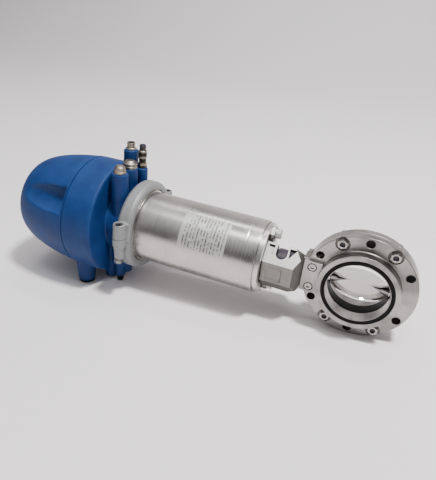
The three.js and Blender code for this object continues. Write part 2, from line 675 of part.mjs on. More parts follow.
// The dome's outline, moved inwards by the wall's thickness for its hollow.
function capOutline(inset) {
  const depth = CAP_OUTLINE[0][1] - CAP_OUTLINE.at(-1)[1];
  return CAP_OUTLINE.map(([radius, x]) => [
    Math.max(0, radius - inset * Math.min(1, radius / 60)),
    CAP_OUTLINE[0][1] + (x - CAP_OUTLINE[0][1]) * (depth - inset) / depth,
  ]);
}

// A finger grip is a round channel that runs out where the dome curves in.
function gripScoop(side, extra) {
  const { angle, distance, r, start } = GRIP;
  const scoop = rodX(r + extra, start - 150, start + extra, 0, distance, 32);
  return scoop.rotate([side < 0 ? 270 - angle : 90 - angle, 0, 0]);
}

function headCap() {
  const { wall } = HEAD;
  const outer = capOutline(0);
  const inner = capOutline(wall);
  const shell = turnedX([...outer, ...inner.reverse(), outer[0]], 36);
  const core = turnedX([[0, outer[0][1]], ...outer], 36);
  const pockets = [1, -1].map((side) => core.intersect(gripScoop(side, wall)));
  return cut(join(shell, ...pockets), gripScoop(1, 0), gripScoop(-1, 0));
}

function domedCap(r, low, height, x, y) {
  const dome = turnedZ([
    [0, 0], [r, 0], [r, 0.45 * height], [0.86 * r, 0.5 * height], [0.84 * r, 0.78 * height],
    [0.5 * r, 0.95 * height], [0, height],
  ], 16);
  return dome.translate([x, y, low]);
}

function plugConnector() {
  const { x, y, top } = PLUG_BOSS;
  const collar = rodZ(8.2, top + GAP, top + 3.5, x, y, 6);
  const socket = rodZ(6.2, top + 3, top + 11, x, y);
  return cut(join(collar, socket), rodZ(4.7, top + 5, top + 20, x, y));
}

function airFitting() {
  const { x, y, top } = AIR_BOSS;
  const body = join(
    rodZ(6.6, top + GAP, top + 8, x, y, 6),
    rodZ(5.4, top + 7, top + 15, x, y),
    rodZ(6.4, top + 14, top + 27, x, y),
  );
  return cut(body, rodZ(AIR_TUBE_R, top + 8, top + 40, x, y), rodZ(5, top + 21, top + 40, x, y));
}

function airCollet() {
  const { x, y, top } = AIR_BOSS;
  const collet = join(rodZ(4.7, top + 23, top + 33, x, y), rodZ(5.8, top + 30, top + 35, x, y));
  return cut(collet, rodZ(AIR_TUBE_R, top, top + 40, x, y));
}

function addHead() {
  const { seam, rear } = HEAD;
  const wallFace = rear - 6 - GAP;
  const { inner, outer, deep } = CAP_SEAL;
  add('head_base', headBase(), bluePlastic);
  add('head_cap', headCap(), bluePlastic);
  add('cap_seal', turnedX(ring(inner, outer, seam, seam + deep - GAP), 36), blackRubber);
  add('controller_board', block(-490, wallFace, -42, 42, 28, 30), boardGreen);
  add('solenoid_valve', block(-462, wallFace, -46, -22, -18, 14), darkPlastic);
  add('position_sensor', block(-448, wallFace, 10, 18, -9, 9), darkPlastic);
  add('plug_connector', plugConnector(), nickel);
  add('air_fitting', airFitting(), nickel);
  add('air_fitting_collet', airCollet(), darkPlastic);
  add('vent_cap', domedCap(10.6, MIDDLE_BOSS.top + GAP, 11.5, MIDDLE_BOSS.x, MIDDLE_BOSS.y), nickel);
  add('exhaust_silencer', domedCap(8.8, LONG_BOSS.top + GAP, 12, LONG_BOSS.x, LONG_BOSS.y), brassMetal);
  add('drain_plug', coneZ(4.4, 5.4, DRAIN_TIP, LONG_BOSS.bottom - GAP, LONG_BOSS.x, LONG_BOSS.y), blackRubber);
  const footEnd = surfaceBelow(FOOT_BOSS.x, FOOT_BOSS.lowR);
  [-1, 1].forEach((side, i) => {
    const y = side * FOOT_BOSS.y;
    const plug = join(
      rodZ(FOOT_BOSS.footR, footEnd, footEnd + FOOT_BOSS.footHigh, FOOT_BOSS.x, y),
      rodZ(FOOT_BOSS.plugR, footEnd + 1, footEnd + 11, FOOT_BOSS.x, y),
    );
    add(`foot_plug_${i + 1}`, plug, blackRubber);
  });
}

// ---- the whole valve ----------------------------------------------------------------------
addValve();
addYoke();
addActuator();
addClamp();
addHead();

assembly.rotation.y = PITCH;
const box = new THREE.Box3().setFromObject(assembly, true);
const middle = box.getCenter(new THREE.Vector3());
assembly.position.set(-middle.x, -middle.y, -box.min.z);

export default assembly;
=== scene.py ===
import json
import math

import bmesh
import bpy
from mathutils import Matrix, Vector


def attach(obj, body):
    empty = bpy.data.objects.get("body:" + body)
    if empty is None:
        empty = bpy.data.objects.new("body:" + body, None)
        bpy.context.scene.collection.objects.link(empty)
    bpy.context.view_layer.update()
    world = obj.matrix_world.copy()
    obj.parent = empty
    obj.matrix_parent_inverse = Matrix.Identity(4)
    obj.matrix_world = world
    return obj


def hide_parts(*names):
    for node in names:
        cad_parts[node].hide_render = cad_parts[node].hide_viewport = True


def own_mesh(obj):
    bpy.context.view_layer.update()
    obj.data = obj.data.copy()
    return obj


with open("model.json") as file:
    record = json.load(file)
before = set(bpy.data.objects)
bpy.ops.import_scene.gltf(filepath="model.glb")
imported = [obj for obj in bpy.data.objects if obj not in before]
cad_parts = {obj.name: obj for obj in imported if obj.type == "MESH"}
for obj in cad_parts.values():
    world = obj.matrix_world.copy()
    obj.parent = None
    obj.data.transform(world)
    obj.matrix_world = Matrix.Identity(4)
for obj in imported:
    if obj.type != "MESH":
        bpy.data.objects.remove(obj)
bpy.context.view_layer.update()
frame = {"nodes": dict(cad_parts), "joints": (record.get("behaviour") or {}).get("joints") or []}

# Pieces are drawn in millimetres around the disc centre: X runs along the stem, away from
# the actuator, -Y out of the front port, Z up. placeInRow carries them to the level surface.
turnJoint = next(j for j in frame["joints"] if j["name"] == "disc_turn")
stemAxis = Vector(turnJoint["axis"]).normalized()
discCentre = Vector(turnJoint["pos_m"])
pipeAxis = Vector((0.0, 1.0, 0.0))
upAxis = stemAxis.cross(pipeAxis)
stemTilt = math.atan2(-stemAxis.z, stemAxis.x)
valveAxes = Matrix((stemAxis, pipeAxis, upAxis)).transposed().to_4x4()
placeInRow = Matrix.Translation(discCentre) @ valveAxes @ Matrix.Scale(0.001, 4)


# Meshes are built from turned profiles, blocks and flat outlines.
def pieceFrom(bm, name, placed=False):
    mesh = bpy.data.meshes.new(name)
    bm.to_mesh(mesh)
    bm.free()
    if placed:
        mesh.transform(placeInRow)
    piece = bpy.data.objects.new(name, mesh)
    bpy.context.scene.collection.objects.link(piece)
    return piece


def applied(piece):
    bpy.context.view_layer.update()
    graph = bpy.context.evaluated_depsgraph_get()
    mesh = bpy.data.meshes.new_from_object(piece.evaluated_get(graph))
    old = piece.data
    piece.modifiers.clear()
    piece.data = mesh
    bpy.data.meshes.remove(old)
    mesh.name = piece.name
    return piece


def combined(piece, tools, operation):
    for tool in tools:
        step = piece.modifiers.new("boolean", "BOOLEAN")
        step.operation = operation
        step.solver = "MANIFOLD"
        step.object = tool
    applied(piece)
    for tool in tools:
        bpy.data.objects.remove(tool)
    return piece


def carved(piece, *tools):
    return combined(piece, tools, "DIFFERENCE")


def joined(piece, *others):
    return combined(piece, others, "UNION")


def common(piece, *others):
    return combined(piece, others, "INTERSECT")


# A profile point is (radius, place along the axis, rounding of that corner).
def rounded(profile, closed):
    steps = 4
    out = []
    count = len(profile)
    for i, point in enumerate(profile):
        corner = Vector(point[:2])
        radius = point[2] if len(point) > 2 else 0.0
        if radius <= 0 or (not closed and i in (0, count - 1)):
            out.append(tuple(corner))
            continue
        before = Vector(profile[i - 1][:2]) - corner
        after = Vector(profile[(i + 1) % count][:2]) - corner
        bend = before.angle(after)
        reach = min(radius / max(math.tan(bend / 2), 1e-3), 0.48 * before.length, 0.48 * after.length)
        a = corner + before.normalized() * reach
        b = corner + after.normalized() * reach
        for k in range(steps + 1):
            t = k / steps
            out.append(tuple(a * (1 - t) ** 2 + corner * 2 * t * (1 - t) + b * t ** 2))
    return out


axisFrames = {
    "X": lambda along, a, b: (along, a, b),
    "Y": lambda along, a, b: (a, along, b),
    "Z": lambda along, a, b: (a, b, along),
}


def turned(name, profile, axis="X", centre=(0, 0, 0), sides=160, closed=False, turn=0.0):
    bm = bmesh.new()
    rings = []
    for radius, along in rounded(profile, closed):
        if radius < 1e-6:
            rings.append([bm.verts.new(Vector(axisFrames[axis](along, 0, 0)) + Vector(centre))])
            continue
        ring = []
        for k in range(sides):
            angle = turn + 2 * math.pi * k / sides
            spot = axisFrames[axis](along, radius * math.cos(angle), radius * math.sin(angle))
            ring.append(bm.verts.new(Vector(spot) + Vector(centre)))
        rings.append(ring)
    pairs = list(zip(rings, rings[1:]))
    if closed:
        pairs.append((rings[-1], rings[0]))
    for one, two in pairs:
        if len(one) == 1 and len(two) == 1:
            continue
        for k in range(sides):
            n = (k + 1) % sides
            if len(one) == 1:
                bm.faces.new((one[0], two[k], two[n]))
            elif len(two) == 1:
                bm.faces.new((one[k], two[0], one[n]))
            else:
                bm.faces.new((one[k], two[k], two[n], one[n]))
    if not closed:
        for ring in (rings[0], rings[-1]):
            if len(ring) > 1:
                bm.faces.new(ring)
    bmesh.ops.recalc_face_normals(bm, faces=bm.faces)
    return pieceFrom(bm, name)


def rod(radius, low, high, axis="X", centre=(0, 0, 0), sides=48, edge=0.0, turn=0.0):
    profile = [(0, low), (radius, low, edge), (radius, high, edge), (0, high)]
    return turned("rod", profile, axis, centre, sides, turn=turn)


def block(lo, hi, edge=0.0):
    bm = bmesh.new()
    bmesh.ops.create_cube(bm, size=1.0)
    size = Vector(hi) - Vector(lo)
    middle = (Vector(hi) + Vector(lo)) / 2
    bmesh.ops.scale(bm, vec=size, verts=bm.verts)
    bmesh.ops.translate(bm, vec=middle, verts=bm.verts)
    if edge:
        bmesh.ops.bevel(bm, geom=bm.edges[:], offset=edge, segments=3, profile=0.5, affect="EDGES")
    bmesh.ops.recalc_face_normals(bm, faces=bm.faces)
    return pieceFrom(bm, "block")


# A flat outline, given in two axes, carried along the third.
def slab(outline, depth, xAxis, yAxis, start):
    zAxis = Vector(xAxis).cross(Vector(yAxis))
    bm = bmesh.new()
    low = [bm.verts.new(Vector(start) + Vector(xAxis) * u + Vector(yAxis) * v) for u, v in outline]
    high = [bm.verts.new(v.co + zAxis * depth) for v in low]
    bm.faces.new(low)
    bm.faces.new(high)
    count = len(low)
    for k in range(count):
        n = (k + 1) % count
        bm.faces.new((low[k], low[n], high[n], high[k]))
    bmesh.ops.recalc_face_normals(bm, faces=bm.faces)
    return pieceFrom(bm, "slab")


def remeshed(piece, voxel, smoothing):
    remesh = piece.modifiers.new("remesh", "REMESH")
    remesh.mode = "VOXEL"
    remesh.voxel_size = voxel
    smooth = piece.modifiers.new("smooth", "SMOOTH")
    smooth.iterations = smoothing
    smooth.factor = 0.5
    return applied(piece)


def finished(piece, name, finish, body, nodes=(), sharp=38.0, placed=False):
    mesh = piece.data
    piece.name = name
    mesh.name = name
    if not placed:
        mesh.transform(placeInRow)
    mesh.materials.clear()
    mesh.materials.append(finish)
    for face in mesh.polygons:
        face.use_smooth = True
    mesh.set_sharp_from_angle(angle=math.radians(sharp))
    weighted = piece.modifiers.new("weighted", "WEIGHTED_NORMAL")
    weighted.keep_sharp = True
    weighted.weight = 50
    applied(piece)
    if nodes:
        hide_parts(*nodes)
    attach(piece, body)
    return piece


# Repeated parts are placed by geometry nodes.
class Tree:
    def __init__(self, name, sizes):
        self.tree = bpy.data.node_groups.new(name, "GeometryNodeTree")
        face = self.tree.interface
        face.new_socket("Geometry", in_out="INPUT", socket_type="NodeSocketGeometry")
        self.sockets = {}
        for label, value in sizes.items():
            kinds = {int: "NodeSocketInt", float: "NodeSocketFloat", tuple: "NodeSocketVector"}
            kind = kinds.get(type(value), "NodeSocketObject")
            made = face.new_socket(label, in_out="INPUT", socket_type=kind)
            self.sockets[label] = (made.identifier, value)
        face.new_socket("Geometry", in_out="OUTPUT", socket_type="NodeSocketGeometry")
        self.inputs = self.tree.nodes.new("NodeGroupInput")
        self.output = self.tree.nodes.new("NodeGroupOutput")

    def size(self, label):
        return self.inputs.outputs[label]

    def node(self, kind, settings=None, **links):
        made = self.tree.nodes.new(kind)
        for key, value in (settings or {}).items():
            setattr(made, key, value)
        for key, value in links.items():
            socket = made.inputs[int(key[1:])] if key[0] == "_" else made.inputs[key]
            if isinstance(value, bpy.types.NodeSocket):
                self.tree.links.new(value, socket)
            elif isinstance(value, bpy.types.Node):
                self.tree.links.new(value.outputs[0], socket)
            else:
                socket.default_value = value
        return made

    def finish(self, last, material):
        real = self.node("GeometryNodeRealizeInstances", _0=last)
        painted = self.node("GeometryNodeSetMaterial", _0=real, _2=material)
        self.tree.links.new(painted.outputs[0], self.output.inputs[0])

    def build(self, name):
        piece = pieceFrom(bmesh.new(), name)
        step = piece.modifiers.new("build", "NODES")
        step.node_group = self.tree
        for identifier, value in self.sockets.values():
            step[identifier] = value
        return applied(piece)


# Copies of a part stood on a circle, with some of the circle's places left out.
def onCircle(name, part, radius, places, keep, axis, turn=0.0, material=None):
    tree = Tree(name + "_tree", {"Places": places, "Circle radius": float(radius), "Part": part})
    ring = tree.node("GeometryNodeMeshCircle", {"fill_type": "NONE"}, Vertices=tree.size("Places"),
                     Radius=tree.size("Circle radius"))
    turns = {"X": (0.0, math.pi / 2, 0.0), "Y": (-math.pi / 2, 0.0, 0.0), "Z": (0.0, 0.0, 0.0)}
    spun = tree.node("GeometryNodeTransform", _0=ring, Rotation=(0.0, 0.0, turn))
    stood = tree.node("GeometryNodeTransform", _0=spun, Rotation=turns[axis])
    index = tree.node("GeometryNodeInputIndex")
    wanted = None
    for k in keep:
        same = tree.node("FunctionNodeCompare", {"data_type": "INT", "operation": "EQUAL"}, _2=index, _3=k)
        if wanted is None:
            wanted = same
        else:
            wanted = tree.node("FunctionNodeBooleanMath", {"operation": "OR"}, _0=wanted, _1=same)
    info = tree.node("GeometryNodeObjectInfo", {"transform_space": "ORIGINAL"}, Object=tree.size("Part"))
    placed = tree.node("GeometryNodeInstanceOnPoints", Points=stood, Selection=wanted,
                       Instance=info.outputs["Geometry"])
    tree.finish(placed, material)
    made = tree.build(name)
    bpy.data.objects.remove(part)
    return made


# Shader sums are written as plain arithmetic on Value.
class Value:
    def __init__(self, finish, socket):
        self.finish = finish
        self.socket = socket

    def combine(self, operation, first, second=None):
        links = {"_0": first}
        if second is not None:
            links["_1"] = second
        return self.finish.node("ShaderNodeMath", {"operation": operation}, **links)

    def __add__(self, other):
        return self.combine("ADD", self, other)

    def __mul__(self, other):
        return self.combine("MULTIPLY", self, other)

    def __sub__(self, other):
        return self.combine("SUBTRACT", self, other)

    def __rsub__(self, other):
        return self.combine("SUBTRACT", other, self)

    def __truediv__(self, other):
        return self.combine("DIVIDE", self, other)

    def __pow__(self, other):
        return self.combine("POWER", self, other)

    def __gt__(self, other):
        return self.combine("GREATER_THAN", self, other)

    def __lt__(self, other):
        return self.combine("LESS_THAN", self, other)

    def floor(self):
        return self.combine("FLOOR", self)

    def fraction(self):
        return self.combine("FRACT", self)

    def size(self):
        return self.combine("ABSOLUTE", self)

    def ramp(self, low, high, toLow=0.0, toHigh=1.0):
        return self.finish.node("ShaderNodeMapRange", {"clamp": True}, _0=self, _1=low, _2=high,
                                _3=toLow, _4=toHigh)


class Finish:
    def __init__(self, name, **settings):
        self.material = bpy.data.materials.new(name)
        self.material.use_nodes = True
        self.tree = self.material.node_tree
        self.tree.nodes.clear()
        self.shader = self.tree.nodes.new("ShaderNodeBsdfPrincipled")
        output = self.tree.nodes.new("ShaderNodeOutputMaterial")
        self.tree.links.new(self.shader.outputs[0], output.inputs[0])
        for key, value in settings.items():
            self.shader.inputs[key.replace("_", " ")].default_value = value

    def node(self, kind, settings=None, output=0, **links):
        made = self.tree.nodes.new(kind)
        for key, value in (settings or {}).items():
            setattr(made, key, value)
        for key, value in links.items():
            socket = made.inputs[int(key[1:])] if key[0] == "_" else made.inputs[key]
            self.link(value, socket)
        return Value(self, made.outputs[output])

    def link(self, value, socket):
        if isinstance(value, Value):
            self.tree.links.new(value.socket, socket)
        else:
            socket.default_value = value

    def drive(self, **links):
        for key, value in links.items():
            self.link(value, self.shader.inputs[key.replace("_", " ")])
        return self.material

    # Place on the valve in millimetres, in the axes that the pieces are drawn in.
    def place(self):
        coordinates = self.node("ShaderNodeTexCoord", output=3)
        return self.node("ShaderNodeMapping", {"vector_type": "TEXTURE"}, Vector=coordinates,
                         Location=tuple(discCentre), Rotation=(0.0, stemTilt, 0.0),
                         Scale=(0.001, 0.001, 0.001))

    def parts(self, vector):
        split = self.node("ShaderNodeSeparateXYZ", _0=vector)
        sockets = split.socket.node.outputs
        return [Value(self, sockets[k]) for k in range(3)]

    def vector(self, x, y, z):
        return self.node("ShaderNodeCombineXYZ", _0=x, _1=y, _2=z)

    def noise(self, vector, scale=1.0, detail=2.0, roughness=0.5):
        return self.node("ShaderNodeTexNoise", Vector=vector, Scale=scale, Detail=detail,
                         Roughness=roughness)

    def mix(self, factor, first, second):
        made = self.tree.nodes.new("ShaderNodeMix")
        made.data_type = "RGBA"
        for socket, value in ((made.inputs[0], factor), (made.inputs[6], first), (made.inputs[7], second)):
            self.link(value, socket)
        return Value(self, made.outputs[2])

    # 1 inside the six holes of a bolt circle; shift moves them round by that share of a sixth.
    def holeMask(self, x, z, along, holes, shift=0.0):
        sixth = math.pi / 3
        angle = self.node("ShaderNodeMath", {"operation": "ARCTAN2"}, _0=z, _1=x)
        folded = ((angle / sixth + shift).fraction() - 0.5) * sixth
        radius = (x * x + z * z) ** 0.5
        across = self.node("ShaderNodeMath", {"operation": "COSINE"}, _0=folded) * radius - holes["circle"]
        beside = self.node("ShaderNodeMath", {"operation": "SINE"}, _0=folded) * radius
        distance = (across * across + beside * beside) ** 0.5
        return (distance < holes["radius"]) * (along.size() < holes["deep"])

    def bump(self, height, strength, distance):
        return self.node("ShaderNodeBump", Height=height, Strength=strength, Distance=distance)


def grey(level, tint=(1.0, 1.0, 1.0)):
    return (level * tint[0], level * tint[1], level * tint[2], 1.0)


# Machined metal: streaks run round the given axis of turning.
def turnedMetal(name, look):
    finish = Finish(name, Metallic=1.0)
    spot = finish.place()
    x, y, z = finish.parts(spot)
    around, along = {"X": ((y, z), x), "Y": ((x, z), y), "Z": ((x, y), z)}[look["axis"]]
    a, b = around
    radius = (a * a + b * b) ** 0.5
    angle = finish.node("ShaderNodeMath", {"operation": "ARCTAN2"}, _0=a, _1=b)
    streaks = finish.noise(finish.vector(along * look["fine"], radius * look["fine"], angle * look["run"]),
                           detail=3.0, roughness=0.65)
    patches = finish.noise(spot, scale=look["patch"], detail=2.0)
    light = streaks.ramp(0.3, 0.7)
    cloud = patches.ramp(0.35, 0.7)
    tone = finish.mix(light * 0.75 + cloud * 0.25, look["dark"], look["light"])
    rough = light * look["spread"] + cloud * look["spread"] + look["rough"]
    if "rings" in look:
        wave = finish.node("ShaderNodeMath", {"operation": "SINE"}, _0=radius * look["rings"])
        streaks = streaks + wave * look["ringHeight"]
    # Painted reflection: dark sectors fanned round the turning axis stand in for the light and dark sectors
    # that turned faces reflect.
    if "fan" in look:
        fan = finish.noise(finish.vector(angle * look["fan"], along * 0.02, 0.0), detail=2.0, roughness=0.6)
        tone = finish.mix(fan.ramp(0.42, 0.66, 0.0, 0.65), tone, look["fanReflectionTone"])
    if "bands" in look:
        perMillimetre, offset, share = look["bands"]
        inBand = (along * perMillimetre / 2 + offset).fraction() < share
        tone = finish.mix(inBand, tone, look["bandTone"])
    # Painted shade: the bolt pockets and the pipe holes are darkened where shade falls in them.
    if "holes" in look:
        pocket = finish.holeMask(x, z, y, look["pockets"], 0.5) * (y.size() > look["pockets"]["floor"])
        tone = finish.mix(pocket, tone, look["pocketShadeTone"])
        inHole = finish.holeMask(x, z, y, look["holes"])
        tone = finish.mix(inHole, tone, look["holeShadeTone"])
        rough = rough + inHole * 0.35
    bump = finish.bump(streaks, look["bump"], 0.0001)
    return finish.drive(Base_Color=tone, Roughness=rough, Normal=bump)


tubeLook = {"axis": "X", "fine": 5.0, "run": 1.6, "patch": 0.02, "rough": 0.2, "spread": 0.09, "bump": 0.22,
            "dark": grey(0.37, (1.0, 0.96, 0.92)), "light": grey(0.68, (1.0, 0.975, 0.94))}
flangeLook = {"axis": "Y", "fine": 2.4, "run": 1.2, "patch": 0.04, "rough": 0.24, "spread": 0.1,
              "bump": 0.15,
              "dark": grey(0.5, (1.0, 0.97, 0.93)), "light": grey(0.7, (1.0, 0.98, 0.95))}
# The hole and pocket tones are painted shade in the pipe holes and bolt pockets.
housingLook = dict(flangeLook, rings=2.1, ringHeight=0.05, holeShadeTone=grey(0.035, (1.0, 0.88, 0.8)),
                   pocketShadeTone=grey(0.12, (1.0, 0.92, 0.86)),
                   holes={"circle": 65.65, "radius": 5.75, "deep": 12.0},
                   pockets={"circle": 65.65, "radius": 9.8, "deep": 12.1, "floor": 9.0},
                   # fan sets the painted reflection sectors round the turning axis.
                   fan=1.3, fanReflectionTone=grey(0.12, (1.0, 0.95, 0.9)),
                   dark=grey(0.24, (1.0, 0.96, 0.92)), light=grey(0.54, (1.0, 0.97, 0.94)))
plateLook = dict(flangeLook, axis="X", rough=0.22)
boltLook = dict(flangeLook, axis="Y", rough=0.25, fine=6.0, dark=grey(0.34, (1.0, 0.96, 0.9)),
                light=grey(0.56, (1.0, 0.97, 0.92)))

tubeSteel = turnedMetal("brushed_tube_steel", tubeLook)
flangeSteel = turnedMetal("turned_flange_steel", housingLook)
plateSteel = turnedMetal("turned_plate_steel", plateLook)
boltSteel = turnedMetal("bolt_steel", boltLook)
endBoltSteel = turnedMetal("end_bolt_steel", dict(boltLook, axis="X"))
pinSteel = turnedMetal("clamp_screw_steel", dict(boltLook, axis="Z", dark=grey(0.12), light=grey(0.26)))
nickelPlate = turnedMetal("nickel_plate", dict(boltLook, axis="Z", rough=0.3,
                                               dark=grey(0.2, (1.0, 0.9, 0.74)),
                                               light=grey(0.38, (1.0, 0.93, 0.8))))
dullBrass = turnedMetal("dull_brass", dict(boltLook, axis="Z", rough=0.38,
                                           dark=grey(0.2, (1.0, 0.86, 0.66)),
                                           light=grey(0.36, (1.0, 0.9, 0.72))))
fittingMetal = turnedMetal("fitting_metal", dict(boltLook, axis="Z", rough=0.32, bands=(0.2, 0.25, 0.55),
                                                 bandTone=grey(0.035, (1.0, 0.9, 0.8)),
                                                 dark=grey(0.2, (1.0, 0.88, 0.72)),
                                                 light=grey(0.34, (1.0, 0.9, 0.76))))
machinedAluminium = turnedMetal("machined_aluminium", dict(plateLook, rough=0.32))
springSteel = turnedMetal("spring_steel", dict(plateLook, rough=0.3, dark=grey(0.1), light=grey(0.2)))


def mirrorFinish():
    look = {"rough": 0.03, "smear": 0.03, "light": grey(0.95, (1.0, 0.985, 0.95)), "dark": grey(0.87)}
    finish = Finish("mirror_polished_steel", Metallic=1.0)
    spot = finish.place()
    smears = finish.noise(spot, scale=0.07, detail=3.0).ramp(0.4, 0.75)
    fine = finish.noise(spot, scale=1.6, detail=2.0)
    return finish.drive(Base_Color=finish.mix(smears, look["light"], look["dark"]),
                        Roughness=smears * look["smear"] + look["rough"],
                        Normal=finish.bump(fine, 0.03, 0.00005))


def castFinish():
    look = {"rough": 0.4, "grain": 1.4, "dark": grey(0.14, (1.0, 0.94, 0.88)),
            "light": grey(0.29, (1.0, 0.95, 0.9)), "machined": grey(0.74, (1.0, 0.99, 0.96)),
            "insideRadius": 33.5, "shade": grey(0.05, (1.0, 0.9, 0.86))}
    finish = Finish("cast_steel", Metallic=1.0)
    spot = finish.place()
    x, y, z = finish.parts(spot)
    grain = finish.noise(spot, scale=look["grain"], detail=4.0, roughness=0.6)
    clouds = finish.noise(spot, scale=0.12, detail=2.0)
    wallDistance = (z - y) * 0.7071
    machined = (wallDistance > yokeSizes["apothem"] - 0.25) * (x < yokeSizes["right"] + 1.5)
    tone = finish.mix(grain * 0.5 + clouds * 0.5, look["dark"], look["light"])
    tone = finish.mix(machined, tone, look["machined"])
    # Painted shade: the yoke's bore inside the cavity radius is darkened where shade falls in it.
    inLength = (x > yokeSizes["left"]) * (x < yokeSizes["endWall"])
    inside = ((y * y + z * z) ** 0.5 < look["insideRadius"]) * inLength
    tone = finish.mix(inside, tone, look["shade"])
    rough = machined * (0.34 - look["rough"]) + grain * 0.12 + look["rough"] - 0.06
    return finish.drive(Base_Color=tone, Roughness=rough,
                        Normal=finish.bump(grain * (1 - machined * 0.85), 0.35, 0.00025))


def rubberFinish():
    finish = Finish("black_rubber", IOR=1.5, Specular_IOR_Level=0.12)
    spot = finish.place()
    grain = finish.noise(spot, scale=1.1, detail=3.0)
    return finish.drive(Base_Color=finish.mix(grain, grey(0.002), grey(0.006)),
                        Roughness=grain * 0.2 + 0.42,
                        Normal=finish.bump(grain, 0.15, 0.0002))


def mouldedFinish(name, look):
    finish = Finish(name, IOR=1.45, Specular_IOR_Level=look.get("specular", 0.5))
    spot = finish.place()
    grain = finish.noise(spot, scale=look["grain"], detail=3.0, roughness=0.6)
    clouds = finish.noise(spot, scale=0.035, detail=3.0, roughness=0.55).ramp(0.3, 0.72)
    flow = finish.noise(spot, scale=0.3, detail=2.0)
    tone = finish.mix(clouds * 0.75 + flow * 0.25, look["dark"], look["light"])
    rough = clouds * 0.1 + grain * 0.1 + look["rough"]
    return finish.drive(Base_Color=tone, Roughness=rough,
                        Normal=finish.bump(grain, look["bump"], 0.00025))


bluePlastic = mouldedFinish("blue_plastic", {"grain": 1.5, "rough": 0.46, "bump": 0.34, "specular": 0.28,
                                             "dark": (0.003, 0.021, 0.105, 1.0),
                                             "light": (0.008, 0.045, 0.17, 1.0)})
darkPlastic = mouldedFinish("dark_plastic", {"grain": 1.2, "rough": 0.3, "bump": 0.15,
                                             "dark": (0.018, 0.014, 0.022, 1.0),
                                             "light": (0.035, 0.027, 0.042, 1.0)})
whitePlastic = mouldedFinish("white_plastic", {"grain": 1.2, "rough": 0.35, "bump": 0.1,
                                               "dark": (0.62, 0.6, 0.55, 1.0),
                                               "light": (0.74, 0.72, 0.68, 1.0)})
boardGreen = mouldedFinish("circuit_board_green", {"grain": 0.8, "rough": 0.4, "bump": 0.1,
                                                   "dark": (0.01, 0.09, 0.04, 1.0),
                                                   "light": (0.02, 0.14, 0.06, 1.0)})


def clampFinish():
    look = {"grain": 2.2, "rough": 0.42, "dark": (0.18, 0.185, 0.19, 1.0), "light": (0.3, 0.305, 0.31, 1.0)}
    finish = Finish("clamp_casting", Metallic=0.35, IOR=1.5)
    spot = finish.place()
    grain = finish.noise(spot, scale=look["grain"], detail=4.0, roughness=0.65)
    clouds = finish.noise(spot, scale=0.09, detail=2.0)
    return finish.drive(Base_Color=finish.mix(grain * 0.6 + clouds * 0.4, look["dark"], look["light"]),
                        Roughness=grain * 0.14 + look["rough"], Normal=finish.bump(grain, 0.3, 0.0002))


# Silver plate: rows of plain bars stand in for its wording and run round the tube.
def plateFinish():
    look = {"row": 4.7, "margin": 4.0, "ink": (0.055, 0.05, 0.055, 1.0),
            "silver": grey(0.6, (1.0, 0.985, 0.97))}
    finish = Finish("printed_data_plate", Metallic=0.55)
    spot = finish.place()
    x, y, z = finish.parts(spot)
    turnAngle = finish.node("ShaderNodeMath", {"operation": "ARCTAN2"}, _0=0 - y, _1=z)
    along = turnAngle * nameplateSizes["radius"]
    rows = (x - nameplateSizes["left"]) / look["row"]
    rowId = rows.floor()
    inRow = rows.fraction()
    letters = finish.noise(finish.vector(along * 1.35, rowId * 7.3, 0.0), detail=1.0)
    words = finish.noise(finish.vector(along * 0.16, rowId * 3.7, 4.0), detail=0.0)
    bars = (letters > 0.44) * (words > 0.4) * (inRow > 0.28) * (inRow < 0.72)
    margin = look["margin"]
    ink = bars * (x > nameplateSizes["left"] + margin) * (x < nameplateSizes["right"] - margin)
    haze = finish.noise(spot, scale=0.5, detail=2.0)
    return finish.drive(Base_Color=finish.mix(ink * 0.85, look["silver"], look["ink"]),
                        Roughness=haze * 0.12 + 0.3, Normal=finish.bump(haze, 0.05, 0.0001))


yokeSizes = {"left": -127.7, "right": -75.5, "apothem": 36.0, "cavity": 26.0, "endWall": -86.0,
             "openSide": 13.6, "ear": 5.5, "tongueHalf": 10.5, "tongueEnd": -56.6, "stock": 0.5,
             "cutterStart": 4.0, "cutterDeep": 18.0, "boltHole": 4.3, "boltCircle": 41.0, "earHalf": 9.0,
             "panel": 1.6}
nameplateSizes = {"left": -246.0, "right": -178.0, "radius": 52.7, "thick": 0.5, "corner": 3.0,
                  "firstAngle": 25.0, "lastAngle": 78.0, "columns": 48, "rows": 48}

mirrorSteel = mirrorFinish()
castSteel = castFinish()
blackRubber = rubberFinish()
clampCasting = clampFinish()
printedPlate = plateFinish()
print("finishes ready")

# The valve's body is two turned halves, bolted together.
housingSizes = {
    "bore": 40.5, "hub": 53.5, "half": 27.5, "flange": 73.7, "flangeHalf": 12.5, "split": 0.15,
    "sealInner": 41.6, "sealOuter": 46.8, "sealDeep": 3.2, "seatOuter": 47.3, "seatHalf": 9.3,
    "boltCircle": 65.65, "pipeHole": 5.5, "screwHole": 4.3, "pocket": 9.6, "pocketFloor": 10.5,
    "padLeft": -75.2, "padRight": -50.0, "padHalf": 23.0, "padFace": 19.0,
    "slotEnd": -56.3, "slotHalf": 10.8, "bush": 9.9, "yokeScrewX": -63.0, "yokeScrewZ": 15.0,
    "yokeScrewHole": 3.3, "yokeScrewSink": 5.8, "sinkDeep": 5.2,
}
screwPlaces = (60, 120, 240, 300)


def onBoltCircle(degrees):
    angle = math.radians(degrees)
    radius = housingSizes["boltCircle"]
    return radius * math.cos(angle), radius * math.sin(angle)


# A hole with a small chamfer at the face that it opens through.
def faceHole(radius, low, face, side, centre, chamfer=0.5, sides=48):
    x, z = centre
    profile = [(0, side * low), (radius, side * low), (radius, side * (face - chamfer)),
               (radius + chamfer, side * face), (radius + chamfer + 1.5, side * (face + 1.5)),
               (0, side * (face + 1.5))]
    return turned("hole", profile, "Y", (x, 0, z), sides)


